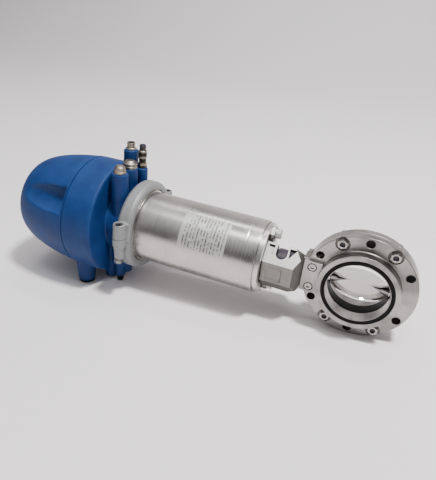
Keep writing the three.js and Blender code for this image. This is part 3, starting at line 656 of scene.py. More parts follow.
def housing(side):
    s = housingSizes
    profile = [
        (s["bore"], s["half"] - 1.2, 0.0), (s["bore"] + 0.15, s["half"], 0.25),
        (s["sealInner"] - 0.15, s["half"], 0.2),
        (s["sealInner"], s["half"] - s["sealDeep"], 0.2), (s["sealOuter"], s["half"] - s["sealDeep"], 0.2),
        (s["sealOuter"], s["half"], 0.35), (s["hub"], s["half"], 0.9), (s["hub"], s["flangeHalf"], 1.6),
        (s["flange"], s["flangeHalf"], 1.2), (s["flange"], s["split"], 0.5),
        (s["seatOuter"], s["split"], 0.2),
        (s["seatOuter"], s["seatHalf"], 0.2), (s["bore"], s["seatHalf"], 0.3),
    ]
    body = turned("housing", [(r, side * y, *rest) for r, y, *rest in profile], "Y", sides=192, closed=True)
    y0, y1 = sorted((side * s["split"], side * s["padFace"]))
    pad = block((s["padLeft"], y0, -s["padHalf"]), (s["padRight"], y1, s["padHalf"]), 1.1)
    padCut = rod(s["hub"] - 1.0, -s["padFace"] - 1, s["padFace"] + 1, "Y", sides=128)
    pad = carved(pad, padCut)
    body = joined(body, pad)
    for degrees in screwPlaces:
        x, z = onBoltCircle(degrees)
        lugRadius = s["pocket"] - 0.6
        lugTop = side * (s["pocketFloor"] + 1.0)
        lug = turned("lug", [(0, side * s["split"]), (lugRadius, side * s["split"], 0.4),
                             (lugRadius, lugTop, 0.6), (0, lugTop)], "Y", (x, 0, z), 64)
        body = joined(body, lug)
    tools = [
        block((s["padLeft"] - 2, -s["slotHalf"], -30), (s["slotEnd"], s["slotHalf"], 30)),
        rod(s["bush"], -60, 64, "X", sides=64),
    ]
    for degrees in range(30, 360, 60):
        tools.append(faceHole(s["pipeHole"], -1.0, s["flangeHalf"], side, onBoltCircle(degrees)))
    for degrees in screwPlaces:
        x, z = onBoltCircle(degrees)
        tools.append(rod(s["screwHole"], -20, 20, "Y", (x, 0, z)))
        tools.append(turned("pocket", [(0, side * s["pocketFloor"]),
                                       (s["pocket"], side * s["pocketFloor"], 0.8),
                                       (s["pocket"], side * s["flangeHalf"]), (s["pocket"] + 3, side * 22),
                                       (0, side * 22)], "Y", (x, 0, z), 64))
    for z in (-s["yokeScrewZ"], s["yokeScrewZ"]):
        tools.append(rod(s["yokeScrewHole"], -30, 30, "Y", (s["yokeScrewX"], 0, z)))
        if side < 0:
            floor = s["padFace"] - s["sinkDeep"]
            tools.append(faceHole(s["yokeScrewSink"], floor, s["padFace"], side, (s["yokeScrewX"], z), 0.7))
    return carved(body, *tools)


finished(housing(-1), "front_body", flangeSteel, "root", ["front_housing"])
finished(housing(1), "rear_body", flangeSteel, "root", ["rear_housing"])
print("housing halves done")

# Black rubber: the seat liner between the halves and a face seal at each port.
stemHole = 8.2
sealSizes = {"seatInner": 39.6, "seatOuter": 47.0, "seatHalf": 9.0, "crown": 0.5, "face": 27.35}


def portSeal(side):
    s = housingSizes
    low = s["half"] - s["sealDeep"] + 0.3
    profile = [(s["sealInner"] + 0.25, low, 0.6), (s["sealOuter"] - 0.25, low, 0.6),
               (s["sealOuter"] - 0.25, sealSizes["face"] - 0.5, 0.3),
               (s["sealOuter"] - 1.4, sealSizes["face"], 0.5),
               (s["sealInner"] + 1.4, sealSizes["face"], 0.5),
               (s["sealInner"] + 0.25, sealSizes["face"] - 0.5, 0.3)]
    return turned("seal", [(r, side * y, f) for r, y, f in profile], "Y", sides=160, closed=True)


def seatLiner():
    q = sealSizes
    profile = [
        (q["seatInner"] + q["crown"], -q["seatHalf"], 0.5), (q["seatOuter"], -q["seatHalf"], 0.5),
        (q["seatOuter"], q["seatHalf"], 0.5), (q["seatInner"] + q["crown"], q["seatHalf"], 0.5),
        (q["seatInner"], q["seatHalf"] * 0.5, 1.5), (q["seatInner"], -q["seatHalf"] * 0.5, 1.5),
    ]
    ring = turned("seat", profile, "Y", sides=160, closed=True)
    return carved(ring, rod(stemHole, -60, 60, "X", sides=64))


finished(seatLiner(), "seat_liner", blackRubber, "root", ["seat_ring"])
finished(portSeal(-1), "front_port_seal", blackRubber, "root", ["front_face_seal"])
finished(portSeal(1), "rear_port_seal", blackRubber, "root", ["rear_face_seal"])

# The disc is a thin plate with a flattened hub at each stem.
discSizes = {"radius": 39.2, "shoulder": 36.8, "thick": 2.2, "belly": 3.2, "rim": 0.8, "hubRadius": 9.4,
             "hubWidth": 1.55, "hubInner": 2.4, "hubEnd": 37.8, "hubStart": 12.0, "stem": 7.9,
             "stemLeft": -104.0, "stemRight": 62.0}


def polishedDisc():
    d = discSizes
    plate = turned("plate", [
        (0, -d["belly"]), (d["shoulder"], -d["thick"], 1.2), (d["radius"], -d["rim"], 0.5),
        (d["radius"], d["rim"], 0.5), (d["shoulder"], d["thick"], 1.2), (0, d["belly"]),
    ], "Z", sides=192)
    for side in (-1, 1):
        hub = turned("hub", [(0, side * d["hubStart"]), (d["hubInner"], side * (d["hubStart"] + 1), 1.0),
                             (d["hubRadius"] * 0.8, side * 29, 5.0),
                             (d["hubRadius"], side * d["hubEnd"], 0.8),
                             (0, side * d["hubEnd"])], "X", sides=96)
        hub.data.transform(Matrix.Diagonal((1, d["hubWidth"], 1, 1)))
        plate = joined(plate, hub)
    ball = turned("ball", [(d["radius"] * math.sin(math.pi * k / 48),
                            -d["radius"] * math.cos(math.pi * k / 48))
                           for k in range(49)], "Z", sides=128)
    plate = common(plate, ball)
    stem = rod(d["stem"], d["stemLeft"], -d["hubEnd"] + 1, "X", sides=72, edge=0.8)
    trunnion = rod(d["stem"], d["hubEnd"] - 1, d["stemRight"], "X", sides=72, edge=0.8)
    return joined(plate, stem, trunnion)


finished(polishedDisc(), "polished_disc", mirrorSteel, "disc_assembly", ["disc_and_stem"],
         32)
print("disc done")

# Hexagon screws and nuts hold the two halves together.
boltSizes = {"across": 6.9, "headHigh": 5.3, "shank": 4.0, "seatAt": 10.8, "nutHigh": 6.5, "tip": 18.3,
             "recess": 3.0, "recessRadius": 3.6}


# A hexagon head whose corners are turned down by a cone.
def hexHead(radius, low, high, axis, centre=(0, 0, 0), dome=0.38):
    head = rod(radius, min(low, high), max(low, high), axis, centre, 6, turn=math.pi / 6)
    face = 1 if high > low else -1
    cone = turned("cone", [(0, low - face), (radius + 2, low - face),
                           (radius + 2, high - face * radius * dome),
                           (radius * 0.78, high + face * 0.02), (0, high + face * 0.02)], axis, centre, 48)
    return common(head, cone)


def housingBolt():
    b = boltSizes
    head = hexHead(b["across"], -b["seatAt"] - 0.2, -b["seatAt"] - b["headHigh"], "Y")
    collar = rod(b["across"] * 0.94, -b["seatAt"] - 0.7, -b["seatAt"], "Y", sides=48, edge=0.2)
    shank = rod(b["shank"], -b["seatAt"] - 0.5, b["tip"], "Y", sides=32, edge=0.6)
    bolt = joined(head, collar, shank)
    top = -b["seatAt"] - b["headHigh"]
    dimple = turned("dimple", [(0, top + b["recess"]), (b["recessRadius"], top + b["recess"], 0.3),
                               (b["recessRadius"], top + 0.5), (b["recessRadius"] + 0.6, top - 0.1),
                               (b["recessRadius"] + 0.6, top - 1), (0, top - 1)], "Y", sides=48)
    return carved(bolt, dimple)


def housingNut():
    b = boltSizes
    nut = hexHead(b["across"], b["seatAt"], b["seatAt"] + b["nutHigh"], "Y")
    return carved(nut, rod(b["shank"] + 0.3, 0, 30, "Y", sides=32))


# Painted shade: a dark cup lines each screw head's recess and stands in for the shade inside it.
def recessShadeCup():
    b = boltSizes
    floor = -b["seatAt"] - b["headHigh"] + b["recess"]
    return turned("cup", [(0, floor - 0.4), (b["recessRadius"] - 0.5, floor - 0.4, 0.2),
                          (b["recessRadius"] - 0.1, floor - 1.9, 0.1),
                          (b["recessRadius"] - 0.02, floor - 1.9),
                          (b["recessRadius"] - 0.02, floor - 0.02), (0, floor - 0.02)], "Y", sides=48)


# Four of the bolt circle's six places; the other two lie on the stem.
def fourOf(name, part, finish, nodeStem=None):
    made = onCircle(name, part, housingSizes["boltCircle"], 6, (1, 2, 4, 5), "Y", 0.0, finish)
    nodes = [f"{nodeStem}_{k}" for k in (1, 2, 3, 4)] if nodeStem else ()
    finished(made, name, finish, "root", nodes)


# The dark cups stand in for shade inside the screw heads' recesses.
fourOf("screw_recesses", recessShadeCup(), darkPlastic)
fourOf("housing_screws", housingBolt(), boltSteel, "housing_screw")
fourOf("housing_nuts", housingNut(), boltSteel, "housing_nut")
print("housing screws done")

# The yoke is an octagonal casting with one machined, windowed wall.
wallNormal = Vector((0, -1, 1)).normalized()
wallAcross = Vector((0, 1, 1)).normalized()


# A cutter through the machined wall; points are (x, across).
def wallCutter(points):
    start = wallNormal * (yokeSizes["apothem"] + yokeSizes["cutterStart"])
    outline = [(t, x) for x, t in points]
    return slab(outline, yokeSizes["cutterDeep"], wallAcross, Vector((1, 0, 0)), start)


def uOutline(x0, x1, bottom, top):
    radius = (x1 - x0) / 2
    points = [(x1, top)]
    for k in range(17):
        angle = math.pi * k / 16
        middle = (x0 + x1) / 2
        points.append((middle + radius * math.cos(angle), bottom + radius * (1 - math.sin(angle))))
    points.append((x0, top))
    return points


def yokeCasting():
    s = yokeSizes
    q = housingSizes
    left, right, a = s["left"], s["right"], s["apothem"]
    c = a * math.tan(math.pi / 8)
    outline = [(a, c), (c, a), (-c, a), (-a, c), (-a, -c), (-c, -a), (c, -a), (a, -c)]
    up = Vector((0, 0, 1))
    along = Vector((1, 0, 0))
    across = Vector((0, 1, 0))
    body = slab(outline, right - left, across, up, (left, 0, 0))
    stock = slab([(-16, -27.0), (13.5, -27.0), (13.5, a + s["stock"]), (-16, a + s["stock"])], right - left,
                 wallAcross, wallNormal, (left, 0, 0))
    body = joined(body, stock)
    frontCut = [(-84.4, 35), (-70, 15), (-50, 15), (-50, 60), (-84.4, 60)]
    topCut = [(-88, 34.5), (-70, 15.4), (-50, 15.4), (-50, 60), (-88, 60)]
    tools = [
        slab([(s["openSide"], -60), (60, -60), (60, 60), (s["openSide"], 60)], 80, wallAcross, wallNormal,
             (left - 10, 0, 0)),
        slab([(x, -y) for x, y in frontCut], 100, along, across, (0, 0, -50)),
        slab(frontCut, 100, along, across, (0, 0, -50)),
        slab(topCut, 100, along, up, (0, 50, 0)),
        slab(topCut, 100, along, -up, (0, -50, 0)),
        rod(s["cavity"], left - 1, s["endWall"], "X", sides=96),
        rod(10.5, left + s["ear"], -108, "X", (0, 0, -41), 48),
        block((left + 7.0, -40, -11.5), (-99.5, -a + s["panel"], 7.0), 0.6),
    ]
    body = carved(body, *tools)
    for side in (-1, 1):
        z0, z1 = sorted((0.0, side * s["boltCircle"]))
        ear = block((left, -s["earHalf"], z0), (left + s["ear"], s["earHalf"], z1), 0.0)
        tip = rod(s["earHalf"], left, left + s["ear"], "X", (0, 0, side * s["boltCircle"]), 48)
        ear = joined(ear, tip)
        ear = carved(ear, rod(s["cavity"], left - 1, left + 7, "X", sides=96))
        body = joined(body, ear)
    tongue = block((right - 1, -s["tongueHalf"], -23), (s["tongueEnd"], s["tongueHalf"], 23), 0.8)
    belly = slab([(-101, 33.0), (-97, 35.9), (-88, 35.9), (-82, 30), (-101, 30)], 12, along, -up,
                 (0, -6, 0))
    body = joined(body, tongue, belly)
    body = remeshed(body, 0.6, 5)
    body = carved(
        body,
        slab([(-60, a), (60, a), (60, a + 20), (-60, a + 20)], 100, wallAcross, wallNormal,
             (left - 20, 0, 0)),
        wallCutter(uOutline(-113, -97.6, -7.2, 24)),
        wallCutter([(-125.4, 10.6), (-115.8, 10.6), (-117.0, -3.4)]),
        wallCutter([(-95.8, 10.4), (-94.8, -4), (-85.6, 10.6)]),
        block((left - 20, -60, -60), (left, 60, 60)),
        rod(stemHole, s["endWall"] - 2, 0, "X", sides=64),
        *[rod(s["boltHole"], left - 2, left + 9, "X", (0, 0, z), 32) for z in (s["boltCircle"],
                                                                               -s["boltCircle"])],
        *[rod(q["yokeScrewHole"], -13, 13, "Y", (q["yokeScrewX"], 0, z), 32)
          for z in (q["yokeScrewZ"], -q["yokeScrewZ"])],
    )
    return body


finished(yokeCasting(), "yoke_casting", castSteel, "root", ["yoke"], 40)
print("yoke done")

# The coupling turns inside the yoke and carries a white mark.
couplingSizes = {"radius": 18.8, "left": -120.0, "right": -90.0}


def couplingSleeve():
    r, left, right = couplingSizes["radius"], couplingSizes["left"], couplingSizes["right"]
    body = turned("coupling", [(0, left), (r - 3, left, 0.8), (r - 3, left + 5, 0.4), (r, left + 7, 0.6),
                               (r, right - 11, 0.3), (r - 0.8, right - 10.2, 0.3),
                               (r - 0.8, right - 8.6, 0.3),
                               (r, right - 7.8, 0.3), (r, right - 2, 0.5), (r - 2, right, 0.8), (0, right)],
                  "X", sides=96)
    return carved(body, rod(stemHole, -104.5, right + 1, "X", sides=48),
                  rod(10.0, left - 1, -106, "X", sides=48))


def whiteMark():
    r, left = couplingSizes["radius"], couplingSizes["left"]
    ring = turned("mark", [(r - 2.7, left + 0.5, 0.3), (r - 0.6, left + 0.5, 0.3),
                           (r - 0.6, left + 4.5, 0.3),
                           (r - 2.7, left + 4.5, 0.3)], "X", sides=96, closed=True)
    return carved(ring, block((left - 1, -30, -30), (left + 6, 30, 0)))


finished(couplingSleeve(), "coupling_sleeve", darkPlastic, "disc_assembly",
         ["stem_coupling"])
finished(whiteMark(), "open_mark", whitePlastic, "disc_assembly", ["position_indicator"])

# Two screws clamp the housing's pad, and two bolts hold the yoke to the cylinder.
yokeScrewSizes = {"radius": 3.0, "head": 5.0, "high": 5.0, "socket": 2.9, "floor": -14.3, "tip": 17.0}
bracketSizes = {"radius": 4.0, "across": 7.5, "washer": 8.3, "face": -121.9, "high": 6.4, "circle": 41.0,
                "left": -140.0}


def yokeScrew():
    s = yokeScrewSizes
    floor = s["floor"]
    head = rod(s["head"], floor - s["high"] + 0.6, floor, "Y", sides=64, edge=0.5)
    screw = joined(head, rod(s["radius"], floor - 1, s["tip"], "Y", sides=32, edge=0.4))
    socket = rod(s["socket"], floor - s["high"], floor - 2.3, "Y", sides=6)
    return carved(screw, socket)


def bracketBolt():
    s = bracketSizes
    face = s["face"]
    washer = rod(s["washer"], face, face + 1.6, "X", sides=64, edge=0.3)
    head = hexHead(s["across"], face + 1.2, face + 1.6 + s["high"], "X")
    shank = rod(s["radius"], s["left"], face + 1, "X", sides=32)
    return joined(washer, head, shank)


# Two opposite places of a circle of four, moved along the stem to x.
def twoOf(name, part, radius, axis, x, finish, nodeStem):
    turn = 0.0 if axis == "X" else math.pi / 2
    pair = onCircle(name, part, radius, 4, (0, 2), axis, turn, finish)
    pair.data.transform(Matrix.Translation((x, 0, 0)))
    finished(pair, name, finish, "root", [f"{nodeStem}_1", f"{nodeStem}_2"])


twoOf("yoke_screws", yokeScrew(), housingSizes["yokeScrewZ"], "Y", housingSizes["yokeScrewX"], boltSteel,
      "yoke_screw")
twoOf("bracket_bolts", bracketBolt(), bracketSizes["circle"], "X", 0.0, endBoltSteel,
      "bracket_bolt")
print("yoke screws done")

# The cylinder is a brushed tube between two covers.
tubeSizes = {"radius": 52.4, "wall": 2.0, "left": -313.0, "right": -135.3, "weld": -152.0}


def cylinderTube():
    s = tubeSizes
    r, inner = s["radius"], s["radius"] - s["wall"]
    profile = [
        (inner, s["left"], 0.4), (r, s["left"], 0.7), (r, s["weld"] - 1.3, 0.5),
        (r - 0.16, s["weld"] - 0.8, 0.4),
        (r - 0.16, s["weld"] + 0.8, 0.4), (r, s["weld"] + 1.3, 0.5), (r, s["right"] - 3.2, 0.5),
        (r - 0.25, s["right"] - 2.9, 0.2), (r - 0.25, s["right"], 0.9), (inner, s["right"], 0.4),
    ]
    return turned("tube", profile, "X", sides=256, closed=True)


endPlateSizes = {"left": -152.0, "right": -128.0, "rim": 50.2, "spigot": 50.1, "grooveRight": -134.2}


def endCover():
    s = endPlateSizes
    spigot, rim, right = s["spigot"], s["rim"], s["right"]
    body = turned("end", [
        (0, s["left"]), (spigot, s["left"], 0.5), (spigot, -147), (47.5, -147), (47.5, -143),
        (spigot, -143),
        (spigot, -135.1), (rim - 2.2, -135.1, 0.2), (rim - 2.2, s["grooveRight"], 0.2),
        (rim, s["grooveRight"], 0.4), (rim, right, 0.9), (43.0, right, 0.3), (42.6, right - 0.4, 0.2),
        (0, right - 0.4),
    ], "X", sides=192)
    return carved(body, rod(10.0, s["left"] - 1, right + 1, "X", sides=64),
                  *[rod(yokeSizes["boltHole"], right - 13, right + 1, "X", (0, 0, z), 32)
                    for z in (bracketSizes["circle"], -bracketSizes["circle"])])


headPlateSizes = {"left": -325.0, "right": -302.0, "flange": 58.0, "rodHole": 4.3}


def headCover():
    s = headPlateSizes
    spigot = 50.1
    body = turned("head_plate", [
        (0, s["left"]), (s["flange"] - 1.5, s["left"], 0.4), (s["flange"], s["left"] + 1.5, 0.3),
        (s["flange"], -319, 0.4),
        (56.5, -317.8, 0.3), (54.2, -317.8, 0.4), (54.2, -315.7, 0.3), (52.9, -315.4, 0.3),
        (52.9, -314.9, 0.2),
        (54.0, -314.6, 0.3), (54.0, -313.6, 0.3), (spigot, -313.6),
        (spigot, -311), (47.5, -311), (47.5, -307), (spigot, -307), (spigot, s["right"], 0.6),
        (0, s["right"]),
    ], "X", sides=192)
    return carved(body, rod(s["rodHole"], s["left"] - 1, s["right"] + 1, "X", sides=32))


finished(cylinderTube(), "cylinder_tube", tubeSteel, "root", ["actuator_tube"], 50)
finished(endCover(), "cylinder_end_cover", plateSteel, "root", ["end_plate"])
finished(headCover(), "cylinder_head_cover", plateSteel, "root", ["head_plate"])


# The data plate: a thin sheet wrapped on the tube, with rounded corners.
def dataPlate():
    s = nameplateSizes
    width = s["right"] - s["left"]
    corner = s["corner"]
    start = math.radians(s["firstAngle"])
    r = s["radius"]
    length = (math.radians(s["lastAngle"]) - start) * r
    bm = bmesh.new()
    columns, rows = s["columns"], s["rows"]
    grid = []
    for i in range(columns + 1):
        line = []
        for j in range(rows + 1):
            u = width * i / columns
            v = length * j / rows
            du = min(u, width - u)
            # Pull the corners in to a round.
            if du < corner:
                inset = corner - math.sqrt(max(0.0, corner ** 2 - (corner - du) ** 2))
                v = inset + (length - 2 * inset) * j / rows
            angle = start + v / r
            line.append(bm.verts.new((s["left"] + u, -r * math.sin(angle), r * math.cos(angle))))
        grid.append(line)
    for i in range(columns):
        for j in range(rows):
            bm.faces.new((grid[i][j], grid[i + 1][j], grid[i + 1][j + 1], grid[i][j + 1]))
    bmesh.ops.remove_doubles(bm, verts=bm.verts, dist=1e-5)
    bmesh.ops.recalc_face_normals(bm, faces=bm.faces)
    sample = bm.faces[0]
    middle = sample.calc_center_median()
    if sample.normal.dot(Vector((0, middle.y, middle.z))) < 0:
        bmesh.ops.reverse_faces(bm, faces=bm.faces)
    plate = pieceFrom(bm, "plate")
    thick = plate.modifiers.new("thick", "SOLIDIFY")
    thick.thickness = s["thick"]
    thick.offset = 1.0
    return applied(plate)


finished(dataPlate(), "data_plate", printedPlate, "root", ["name_plate"], 50)
print("cylinder done")

# The return spring is a plain wire coil with its own mesh; in the valve the piston squeezes it as it moves.
springSizes = {"radius": 44.5, "wire": 3.0, "turns": 6.0, "left": -298.2, "right": -185.8}


def returnSpring():
    s = springSizes
    tree = Tree("return_spring_tree", {"Coil radius": s["radius"], "Wire radius": s["wire"],
                                       "Turns": s["turns"],
                                       "Height": s["right"] - s["left"], "Steps per turn": 40})
    coil = tree.node("GeometryNodeCurveSpiral", Resolution=tree.size("Steps per turn"),
                     Rotations=tree.size("Turns"), Height=tree.size("Height"))
    tree.tree.links.new(tree.size("Coil radius"), coil.inputs["Start Radius"])
    tree.tree.links.new(tree.size("Coil radius"), coil.inputs["End Radius"])
    section = tree.node("GeometryNodeCurvePrimitiveCircle", Resolution=16, Radius=tree.size("Wire radius"))
    wire = tree.node("GeometryNodeCurveToMesh", _0=coil)
    tree.tree.links.new(section.outputs[0], wire.inputs["Profile Curve"])
    wire.inputs["Fill Caps"].default_value = True
    tree.finish(wire, springSteel)
    spring = tree.build("return_spring")
    spring.data.transform(Matrix.Translation((s["left"], 0, 0)) @ Matrix.Rotation(math.pi / 2, 4, "Y"))
    return spring


spring = finished(returnSpring(), "return_spring", springSteel, "root", ["piston_spring"],
                  60)
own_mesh(spring)
print("spring done")

# The clamp joins cylinder and control head; its lower half reaches a step past mid height.
clampSizes = {"left": -336.0, "right": -314.0, "outer": 67.0, "inner": 55.5, "groove": 58.5, "lug": 80.5,
              "top": 30.0, "bottom": -24.5, "step": 8.0, "lowFlange": -4.5, "screwX": -325.0,
              "screwY": 72.6,
              "screw": 3.6, "head": 4.8, "gap": 0.15, "sinkDeep": 7.0, "nut": 6.6, "nutHigh": 6.0}


def clampHalf(side):
    s = clampSizes
    left, right, outer, inner, step = s["left"], s["right"], s["outer"], s["inner"], s["step"]
    body = turned("band", [(inner, left, 1.0), (outer - 3.5, left, 2.0), (outer, left + 4.5, 2.5),
                           (outer, right - 4.5, 3.0), (outer - 4.0, right, 2.2), (inner, right, 1.0)],
                  "X", sides=192, closed=True)
    parts = []
    for end in (-1, 1):
        centre = (s["screwX"], end * (s["lug"] - 10.2), 0)
        y0, y1 = sorted((end * (outer - 11), end * (s["lug"] - 9)))
        if side > 0:
            parts.append(turned("barrel", [(0, step), (10.0, step, 0.8), (9.4, step + 9),
                                           (9.0, s["top"], 1.8),
                                           (0, s["top"])], "Z", centre, 64))
            parts.append(block((left + 2.5, y0, step), (right - 2.5, y1, s["top"] - 3), 2.0))
        else:
            parts.append(turned("barrel", [(0, s["bottom"]), (7.6, s["bottom"], 1.6),
                                           (8.6, s["lowFlange"] - 1, 1.5),
                                           (10.2, s["lowFlange"], 1.0), (10.2, step, 1.2), (0, step)],
                                "Z", centre, 64))
            parts.append(block((left + 1.0, y0, s["lowFlange"]), (right - 1.0, y1, step), 1.2))
            parts.append(block((left + 4.5, y0, s["bottom"] + 4), (right - 4.5, y1, 0), 2.0))
    body = joined(body, *parts)
    body = remeshed(body, 0.8, 4)
    bore = turned("bore", [(0, left - 5), (inner, left - 5), (inner, left + 1.5), (s["groove"], left + 3.5),
                           (s["groove"], right - 4.5), (inner, right - 2.5), (inner, right + 5),
                           (0, right + 5)],
                  "X", sides=192)
    tools = [bore]
    gap, near, far = s["gap"], outer + 0.5, 95
    if side > 0:
        tools.append(block((-350, -near, -far), (-300, near, gap)))
        tools.append(block((-350, near - 1, -far), (-300, far, step + gap)))
        tools.append(block((-350, -far, -far), (-300, 1 - near, step + gap)))
    else:
        tools.append(block((-350, -near, -gap), (-300, near, far)))
        tools.append(block((-350, -far, step - gap), (-300, far, far)))
    for end in (-1, 1):
        centre = (s["screwX"], end * s["screwY"], 0)
        tools.append(rod(s["screw"] + 0.3, -60, 60, "Z", centre, 32))
        if side > 0:
            floor, sink = s["top"] - s["sinkDeep"], s["head"] + 0.8
            tools.append(turned("counterbore", [
                (0, floor), (sink, floor, 0.4), (sink, s["top"] - 0.8), (sink + 0.6, s["top"] + 0.2),
                (sink + 0.6, 60), (0, 60)], "Z", centre, 48))
    return carved(body, *tools)


finished(clampHalf(1), "clamp_top", clampCasting, "root", ["upper_clamp_half"], 42)
finished(clampHalf(-1), "clamp_bottom", clampCasting, "root", ["lower_clamp_half"], 42)


def clampScrew():
    s = clampSizes
    seat = s["top"] - s["sinkDeep"] + 0.3
    head = rod(s["head"], seat, seat + 5.5, "Z", sides=64, edge=0.6)
    screw = joined(head, rod(s["screw"], s["bottom"] - 7, seat + 1, "Z", sides=32, edge=0.5))
    return carved(screw, rod(3.2, seat + 2.5, seat + 8, "Z", sides=6))


def clampNut():
    s = clampSizes
    seat = s["bottom"] - 0.3
    nut = hexHead(s["nut"], seat, seat - s["nutHigh"], "Z")
    return carved(nut, rod(s["screw"] + 0.3, -60, 0, "Z", sides=32))


twoOf("clamp_screws", clampScrew(), clampSizes["screwY"], "Z", clampSizes["screwX"], pinSteel,
      "clamp_screw")
twoOf("clamp_nuts", clampNut(), clampSizes["screwY"], "Z", clampSizes["screwX"], pinSteel,
      "clamp_nut")
print("clamp done")

# The control head is a moulded base with bosses, and a blunt dome with two grips.
headSizes = {"seam": -413.0, "rear": -366.0, "radius": 86.0, "neck": 46.0, "wall": 3.0, "cavity": 79.0,
             "sealInner": 82.2, "sealOuter": 84.8, "sealDeep": 1.7}
bosses = {
    "long": {"x": -350.0, "y": -29.0, "r": 12.0, "low": -62.0, "top": 85.0},
    "drain": {"x": -350.0, "y": -29.0, "r": 7.5, "low": -84.0, "top": -60.0},
    "middle": {"x": -353.0, "y": 3.0, "r": 11.4, "low": 0.0, "top": 83.5},
    "air": {"x": -345.0, "y": 25.0, "r": 8.3, "low": 0.0, "top": 79.0},
    "plug": {"x": -366.5, "y": 28.0, "r": 11.0, "low": 0.0, "top": 102.0},
    "side": {"x": -368.5, "y": -24.0, "r": 10.2, "low": -91.5, "top": 20.0},
    "inner": {"x": -344.3, "y": -19.0, "r": 7.8, "low": -79.5, "top": -30.0},
}
footSizes = {"x": -397.6, "y": 50.0, "top": 15.2, "low": 12.8, "plug": 8.6, "foot": 12.2, "footHigh": 3.0}
drainTip = -93.2


# Where a boss of radius r at x meets the level surface that the valve lies on.
def surfaceBelow(x, r):
    return ((x + r) * math.sin(stemTilt) - housingSizes["flange"]) / math.cos(stemTilt)


def headBase():
    s = headSizes
    seam, rear, r = s["seam"], s["rear"], s["radius"]
    shell = turned("shell", [
        (0, -325.3), (56.5, -325.3, 0.6), (58, -326.8, 0.5), (58, -332.2, 0.6), (54.5, -334.2, 0.6),
        (54.5, -340, 0.6), (s["neck"], -342, 1.0), (s["neck"], rear, 2.0), (r - 3, rear, 0.6),
        (r - 0.6, rear - 1.2, 0.6), (r, rear - 4), (r, seam + 1.6, 0.8), (r - 0.8, seam, 0.5), (0, seam)],
        "X", sides=192)
    parts = []
    for boss in bosses.values():
        low, top, radius = boss["low"], boss["top"], boss["r"]
        parts.append(turned("boss", [(0, low), (radius - 0.2, low, 0.9), (radius, low + 6),
                                     (radius, top - 6),
                                     (radius - 0.1, top, 0.9), (0, top)], "Z", (boss["x"], boss["y"], 0),
                            64))
    footEnd = surfaceBelow(footSizes["x"], footSizes["low"])
    low = footEnd + footSizes["footHigh"] + 0.3
    for side in (-1, 1):
        parts.append(turned("foot", [(0, low), (footSizes["low"], low, 1.0), (footSizes["top"], -55),
                                     (0, -50)],
                            "Z", (footSizes["x"], side * footSizes["y"], 0), 64))
    body = joined(shell, *parts)
    body = remeshed(body, 1.1, 4)
    tools = [
        rod(s["cavity"], seam - 10, rear - 6, "X", sides=128),
        rod(9, rear - 10, -320, "X", sides=48),
        turned("groove", [(s["sealInner"], seam - 10), (s["sealOuter"], seam - 10),
                          (s["sealOuter"], seam + s["sealDeep"]), (s["sealInner"], seam + s["sealDeep"])],
               "X", sides=192, closed=True),
        block((seam - 30, -90, -90), (seam, 90, 90)),
    ]
    for side in (-1, 1):
        tools.append(rod(footSizes["plug"] + 0.3, footEnd - 3, footEnd + 12, "Z",
                         (footSizes["x"], side * footSizes["y"], 0), 48))
    return carved(body, *tools)


gripSizes = {"angle": 30.0, "distance": 91.0, "radius": 22.0, "start": -416.0, "soft": 0.9, "ramp": 0.8}
domeSizes = {"radius": 85.8, "length": 104.8, "shape": 1.128, "blunt": 6.0, "rows": 120, "sides": 288}


# How far a grip channel reaches in towards the axis, at an angle from its middle.
def gripDepth(delta, radius):
    g = gripSizes
    reach = g["distance"] * math.sin(delta)
    if abs(delta) > math.pi / 2 or abs(reach) >= g["radius"]:
        return radius
    near = g["distance"] * math.cos(delta) - math.sqrt(g["radius"] ** 2 - reach ** 2)
    share = max(0.0, min(1.0, 0.5 + 0.5 * (near - radius) / g["soft"]))
    return near * (1 - share) + radius * share - g["soft"] * share * (1 - share)


def headCap():
    s, g, d = headSizes, gripSizes, domeSizes
    face = s["seam"] - 0.3
    spots = [(82.8, face), (d["radius"] - 0.7, face), (d["radius"] - 0.15, face - 0.5)]
    for k in range(1, d["rows"]):
        share = 1 - (1 - k / d["rows"]) ** 2.6
        radius = d["radius"] * (1 - share ** d["shape"]) ** (1 / d["blunt"])
        spots.append((radius, face - 0.5 - d["length"] * share))
    bm = bmesh.new()
    rings = []
    sides = d["sides"]
    for row, (radius, x) in enumerate(spots):
        ramp = max(0.0, min(1.0, (g["start"] - x) / g["ramp"])) if row > 2 else 0.0
        ring = []
        for k in range(sides):
            angle = 2 * math.pi * k / sides
            r = radius
            for turn in (g["angle"], g["angle"] + 180):
                delta = (angle - math.radians(turn) + math.pi) % (2 * math.pi) - math.pi
                r += (gripDepth(delta, r) - r) * ramp
            ring.append(bm.verts.new((x, -r * math.cos(angle), r * math.sin(angle))))
        rings.append(ring)
    for one, two in zip(rings, rings[1:]):
        for k in range(sides):
            n = (k + 1) % sides
            bm.faces.new((one[k], two[k], two[n], one[n]))
    tip = bm.verts.new((face - 0.5 - d["length"], 0, 0))
    last = rings[-1]
    for k in range(sides):
        bm.faces.new((last[k], tip, last[(k + 1) % sides]))
    bmesh.ops.recalc_face_normals(bm, faces=bm.faces)
    if bm.faces[0].normal.x < 0:
        bmesh.ops.reverse_faces(bm, faces=bm.faces)
    cap = pieceFrom(bm, "cap")
    thick = cap.modifiers.new("wall", "SOLIDIFY")
    thick.thickness = s["wall"] - 0.6
    thick.offset = -1.0
    return applied(cap)


finished(headBase(), "head_housing", bluePlastic, "root", ["head_base"], 40)
finished(headCap(), "head_dome", bluePlastic, "root", ["head_cap"], 45)
print("control head done")

# Small fittings stand on the control head's bosses.
fittingSizes = {"collarHex": 8.2, "socket": 6.2, "socketHole": 4.7, "airTube": 3.6, "pinCircle": 2.3,
                "pin": 0.5}


def bossTop(name):
    boss = bosses[name]
    return boss["top"], (boss["x"], boss["y"], 0)


